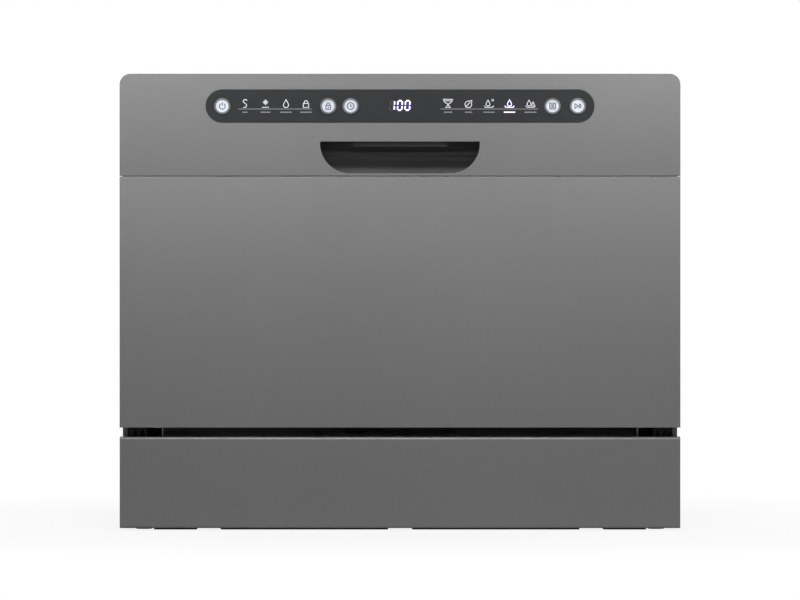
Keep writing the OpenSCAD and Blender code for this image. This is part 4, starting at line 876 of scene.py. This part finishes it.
side_x, front, back, low, rim = 0.216, y_at(96.5), y_at(457.5), 0.190, 0.296
cross_low = low - 0.0012
wires = bmesh.new()
for k in range(11):
    x = -side_x + 2 * side_x * k / 10
    coated_wire(wires, [(x, front, rim), (x, front, low), (x, back, low), (x, back, rim)], 0.004)
for k in range(1, 8):
    y = front + (back - front) * k / 8
    coated_wire(wires, [(-side_x, y, rim), (-side_x, y, cross_low), (side_x, y, cross_low), (side_x, y, rim)], 0.004)
for z, d, inset in ((rim, 0.005, 0), ((low + rim) / 2, 0.004, 0), (cross_low, 0.004, 0.008)):
    corners = [(side_x - inset, front + inset, z), (side_x - inset, back - inset, z),
               (inset - side_x, back - inset, z), (inset - side_x, front + inset, z)]
    coated_wire(wires, corners, d, 0.012, True)
for y in (y_at(222.5), y_at(302.5), y_at(382.5)):
    coated_wire(wires, [(-side_x, y, cross_low), (side_x, y, cross_low)], 0.004)
    for k in range(10):
        x = -side_x + 2 * side_x * (k + 0.5) / 10
        coated_wire(wires, [(x, y, cross_low), (x, y, low + 0.060)], 0.0034)
wheel_height = 0.1705
front_axle, rear_axle = y_at(189.5), y_at(419.5)
for side in (-1, 1):
    for y in (front_axle, rear_axle):
        prism(wires, soft_outline(0.007, 0.0125, 0.003),
              lambda u, v, level: (side * level, y + u, wheel_height + 0.0065 + v), side_x - 0.0015, side_x + 0.0015)
        coated_wire(wires, [(side * side_x, y, wheel_height), (side * 0.2305, y, wheel_height)], 0.006)
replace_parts(solid("rack_wires", wires, nylon, "rack", 50), "rack_frame")


# Rack wheels: white mouldings that clip on stub axles, with a ring of ribs in their outer face.
for place_name, side, y in (("front_left", -1, front_axle), ("front_right", 1, front_axle),
                            ("rear_left", -1, rear_axle), ("rear_right", 1, rear_axle)):
    wheel = place_name + "_wheel"
    dress(wheel, satin_white, 0.0006, 3)
    spokes = bmesh.new()
    for k in range(8):
        a = math.tau * k / 8
        across, out = Vector((0, -math.sin(a), math.cos(a))), Vector((0, math.cos(a), math.sin(a)))
        prism(spokes, [(-0.0006, 0.0056), (0.0006, 0.0056), (0.0006, 0.0102), (-0.0006, 0.0102)],
              lambda u, v, level: Vector((side * level, y, wheel_height)) + across * u + out * v, 0.2268, 0.2286)
    solid(wheel + "_ribs", spokes, satin_white, wheel)


# Cutlery basket and cup shelf: grey mouldings; the basket lifts out by its loop, and the shelf
# clips round the rim wire and folds up against the side.
tray_grey = moulded("basket_grey", (0.27, 0.285, 0.30), 0.42, 1200)
dress("cutlery_basket", tray_grey, 0.0006)
dress("cup_shelf", tray_grey, 0.0008)


# Works under the chamber: two pumps, the impeller, the inlet valve and the air break, moulded, and
# the drain spigot at the back. All are fixed to the base tray or hung from the sump.
pump_black = moulded("pump_black", (0.02, 0.0205, 0.021), 0.42)
for case in ("wash_pump", "drain_pump"):
    dress(case, pump_black, 0.0008)
for moulding in ("pump_impeller", "inlet_valve", "air_break"):
    dress(moulding, satin_white, 0.0005)
dress("drain_outlet", dispenser_grey, 0.0005)


# Inlet thread: the moulded three-quarter inch pipe thread that the hose nut screws onto.
inlet_x, inlet_y, inlet_z = -0.180, y_at(480.6), 0.0362
pitch, buried, flank, crest = 0.0018, 0.0129, 0.0131, 0.0136
turns, steps = 6, 40
thread = bmesh.new()
rows = []
for k in range(turns * steps + 1):
    a = math.tau * k / steps
    tall = flank + (crest - flank) * min(1, k / 10, (turns * steps - k) / 10)
    y = inlet_y + pitch * k / steps
    rows.append([thread.verts.new((inlet_x + r * math.cos(a), y + d, inlet_z + r * math.sin(a)))
                 for r, d in ((buried, -0.0008), (tall, -0.0002), (tall, 0.0002), (buried, 0.0008))])
for a, b in zip(rows, rows[1:]):
    for k in range(4):
        thread.faces.new((a[k], a[(k + 1) % 4], b[(k + 1) % 4], b[k]))
thread.faces.new(rows[0])
thread.faces.new(rows[-1][::-1])
solid("inlet_thread", thread, satin_white, "root", 30)


# Hoses: a ribbed black rubber drain hose and a smooth fill hose, pushed over their spigots and held
# by spring clips. They lie along the routes that the base tray leaves for them.
hose_rubber = moulded("hose_rubber", (0.02, 0.02, 0.021), 0.55, 900, 0.00008)
clip_steel = polished("clip_steel", (0.42, 0.43, 0.44), 0.3, 0.08, metallic=1.0)


def smooth_run(points, spacing):
    """Closely and evenly spaced points on a smooth curve through a hose's route, given in mm."""
    p = [Vector((x, y_at(v) * 1000, z)) / 1000 for x, v, z in points]
    fine = []
    for i in range(len(p) - 1):
        a, b, c, d = p[max(i - 1, 0)], p[i], p[i + 1], p[min(i + 2, len(p) - 1)]
        for k in range(24):
            t = k / 24
            fine.append(0.5 * (2 * b + (c - a) * t + (2 * a - 5 * b + 4 * c - d) * t * t
                               + (3 * b - a - 3 * c + d) * t * t * t))
    fine.append(p[-1])
    lengths = [0.0]
    for a, b in zip(fine, fine[1:]):
        lengths.append(lengths[-1] + (b - a).length)
    count = max(round(lengths[-1] / spacing), 2)
    run, j = [], 0
    for k in range(count + 1):
        at = lengths[-1] * k / count
        while j < len(lengths) - 2 and lengths[j + 1] < at:
            j += 1
        share = (at - lengths[j]) / max(lengths[j + 1] - lengths[j], 1e-9)
        run.append(fine[j].lerp(fine[j + 1], min(share, 1)))
    return run


drain_x, drain_v, drain_z = 141, 257, 102
spigot_x, spigot_end, spigot_z = 180, 463.5, 36.2
drain_route = [(drain_x, drain_v, drain_z), (drain_x, drain_v + 7, drain_z), (drain_x, drain_v + 22, drain_z),
               (drain_x + 9, drain_v + 60, drain_z - 6), (174, drain_v + 108, drain_z - 24),
               (spigot_x, spigot_end - 56, spigot_z + 16), (spigot_x, spigot_end - 24, spigot_z),
               (spigot_x, spigot_end - 8, spigot_z), (spigot_x, spigot_end, spigot_z)]
drain_step, cuff_length = 0.0009, 0.014
run = smooth_run(drain_route, drain_step)
last = len(run) - 1
drain = bmesh.new()


def ribbed(k):
    """The drain hose's radius: plain cuffs at both ends and a wave of ribs between them."""
    to_end = min(k, last - k) * drain_step
    wave = 0.5 - 0.5 * math.cos(math.tau * k / 5)
    return 0.0090 - (0.0016 * (1 - wave) if to_end > cuff_length else 0)


tube(drain, run, ribbed, 20)
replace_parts(solid("ribbed_drain_hose", drain, hose_rubber, "root", 60), "drain_hose")
fill_x, fill_v, riser_x, riser_v = -180, 445.5, -258.5, 300
fill_route = [(fill_x, fill_v, 68.2), (fill_x, fill_v, 72.2), (fill_x, fill_v, 80.2), (-195, 439.5, 92.2),
              (-222, 419.5, 104.2), (riser_x + 13, 385.5, 124), (riser_x, 340.75, 140), (riser_x, riser_v + 8, 148),
              (riser_x, riser_v, 164), (riser_x, riser_v, 173), (riser_x, riser_v, 178)]
filler = bmesh.new()
tube(filler, smooth_run(fill_route, 0.003), 0.006, 18)
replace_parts(solid("smooth_fill_hose", filler, hose_rubber, "root", 60), "fill_hose")
clips = bmesh.new()
clip_r = 0.0092
for x, depth, height in ((drain_x, drain_v + 6, drain_z), (spigot_x, spigot_end - 6.5, spigot_z)):
    at = Vector((x / 1000, y_at(depth), height / 1000))
    route = []
    for k in range(49):
        a = math.tau * k / 48 * 0.96
        out = Vector((math.cos(a), 0, math.sin(a)))
        route.append((at + out * clip_r, Vector((0, 1, 0)), out))
    swept(clips, route, [(-0.004, 0), (0.004, 0), (0.004, 0.0008), (-0.004, 0.0008)])
solid("hose_clips", clips, clip_steel, "root", 30)


# Circuit board: a green lacquered board behind the window, with copper tracks under the lacquer.
board = bpy.data.materials.new("lacquered_board")
add, join = node_tree(board)
place = add("TexCoord")
tracks = add("TexVoronoi", Scale=420, feature="F2", distance="MANHATTAN", Randomness=0.7)
join(place.outputs["Object"], tracks.inputs["Vector"])
copper = add("MapRange", From_Min=0.45, From_Max=0.55)
join(tracks.outputs["Distance"], copper.inputs["Value"])
tone = add("MixRGB", Color1=(0.006, 0.05, 0.018, 1), Color2=(0.016, 0.095, 0.035, 1))
join(copper.outputs[0], tone.inputs["Fac"])
coated(add, join, tone.outputs[0], normal=relief(add, join, copper.outputs[0], 0.3, 0.00005), Roughness=0.3)
dress("control_board", board)
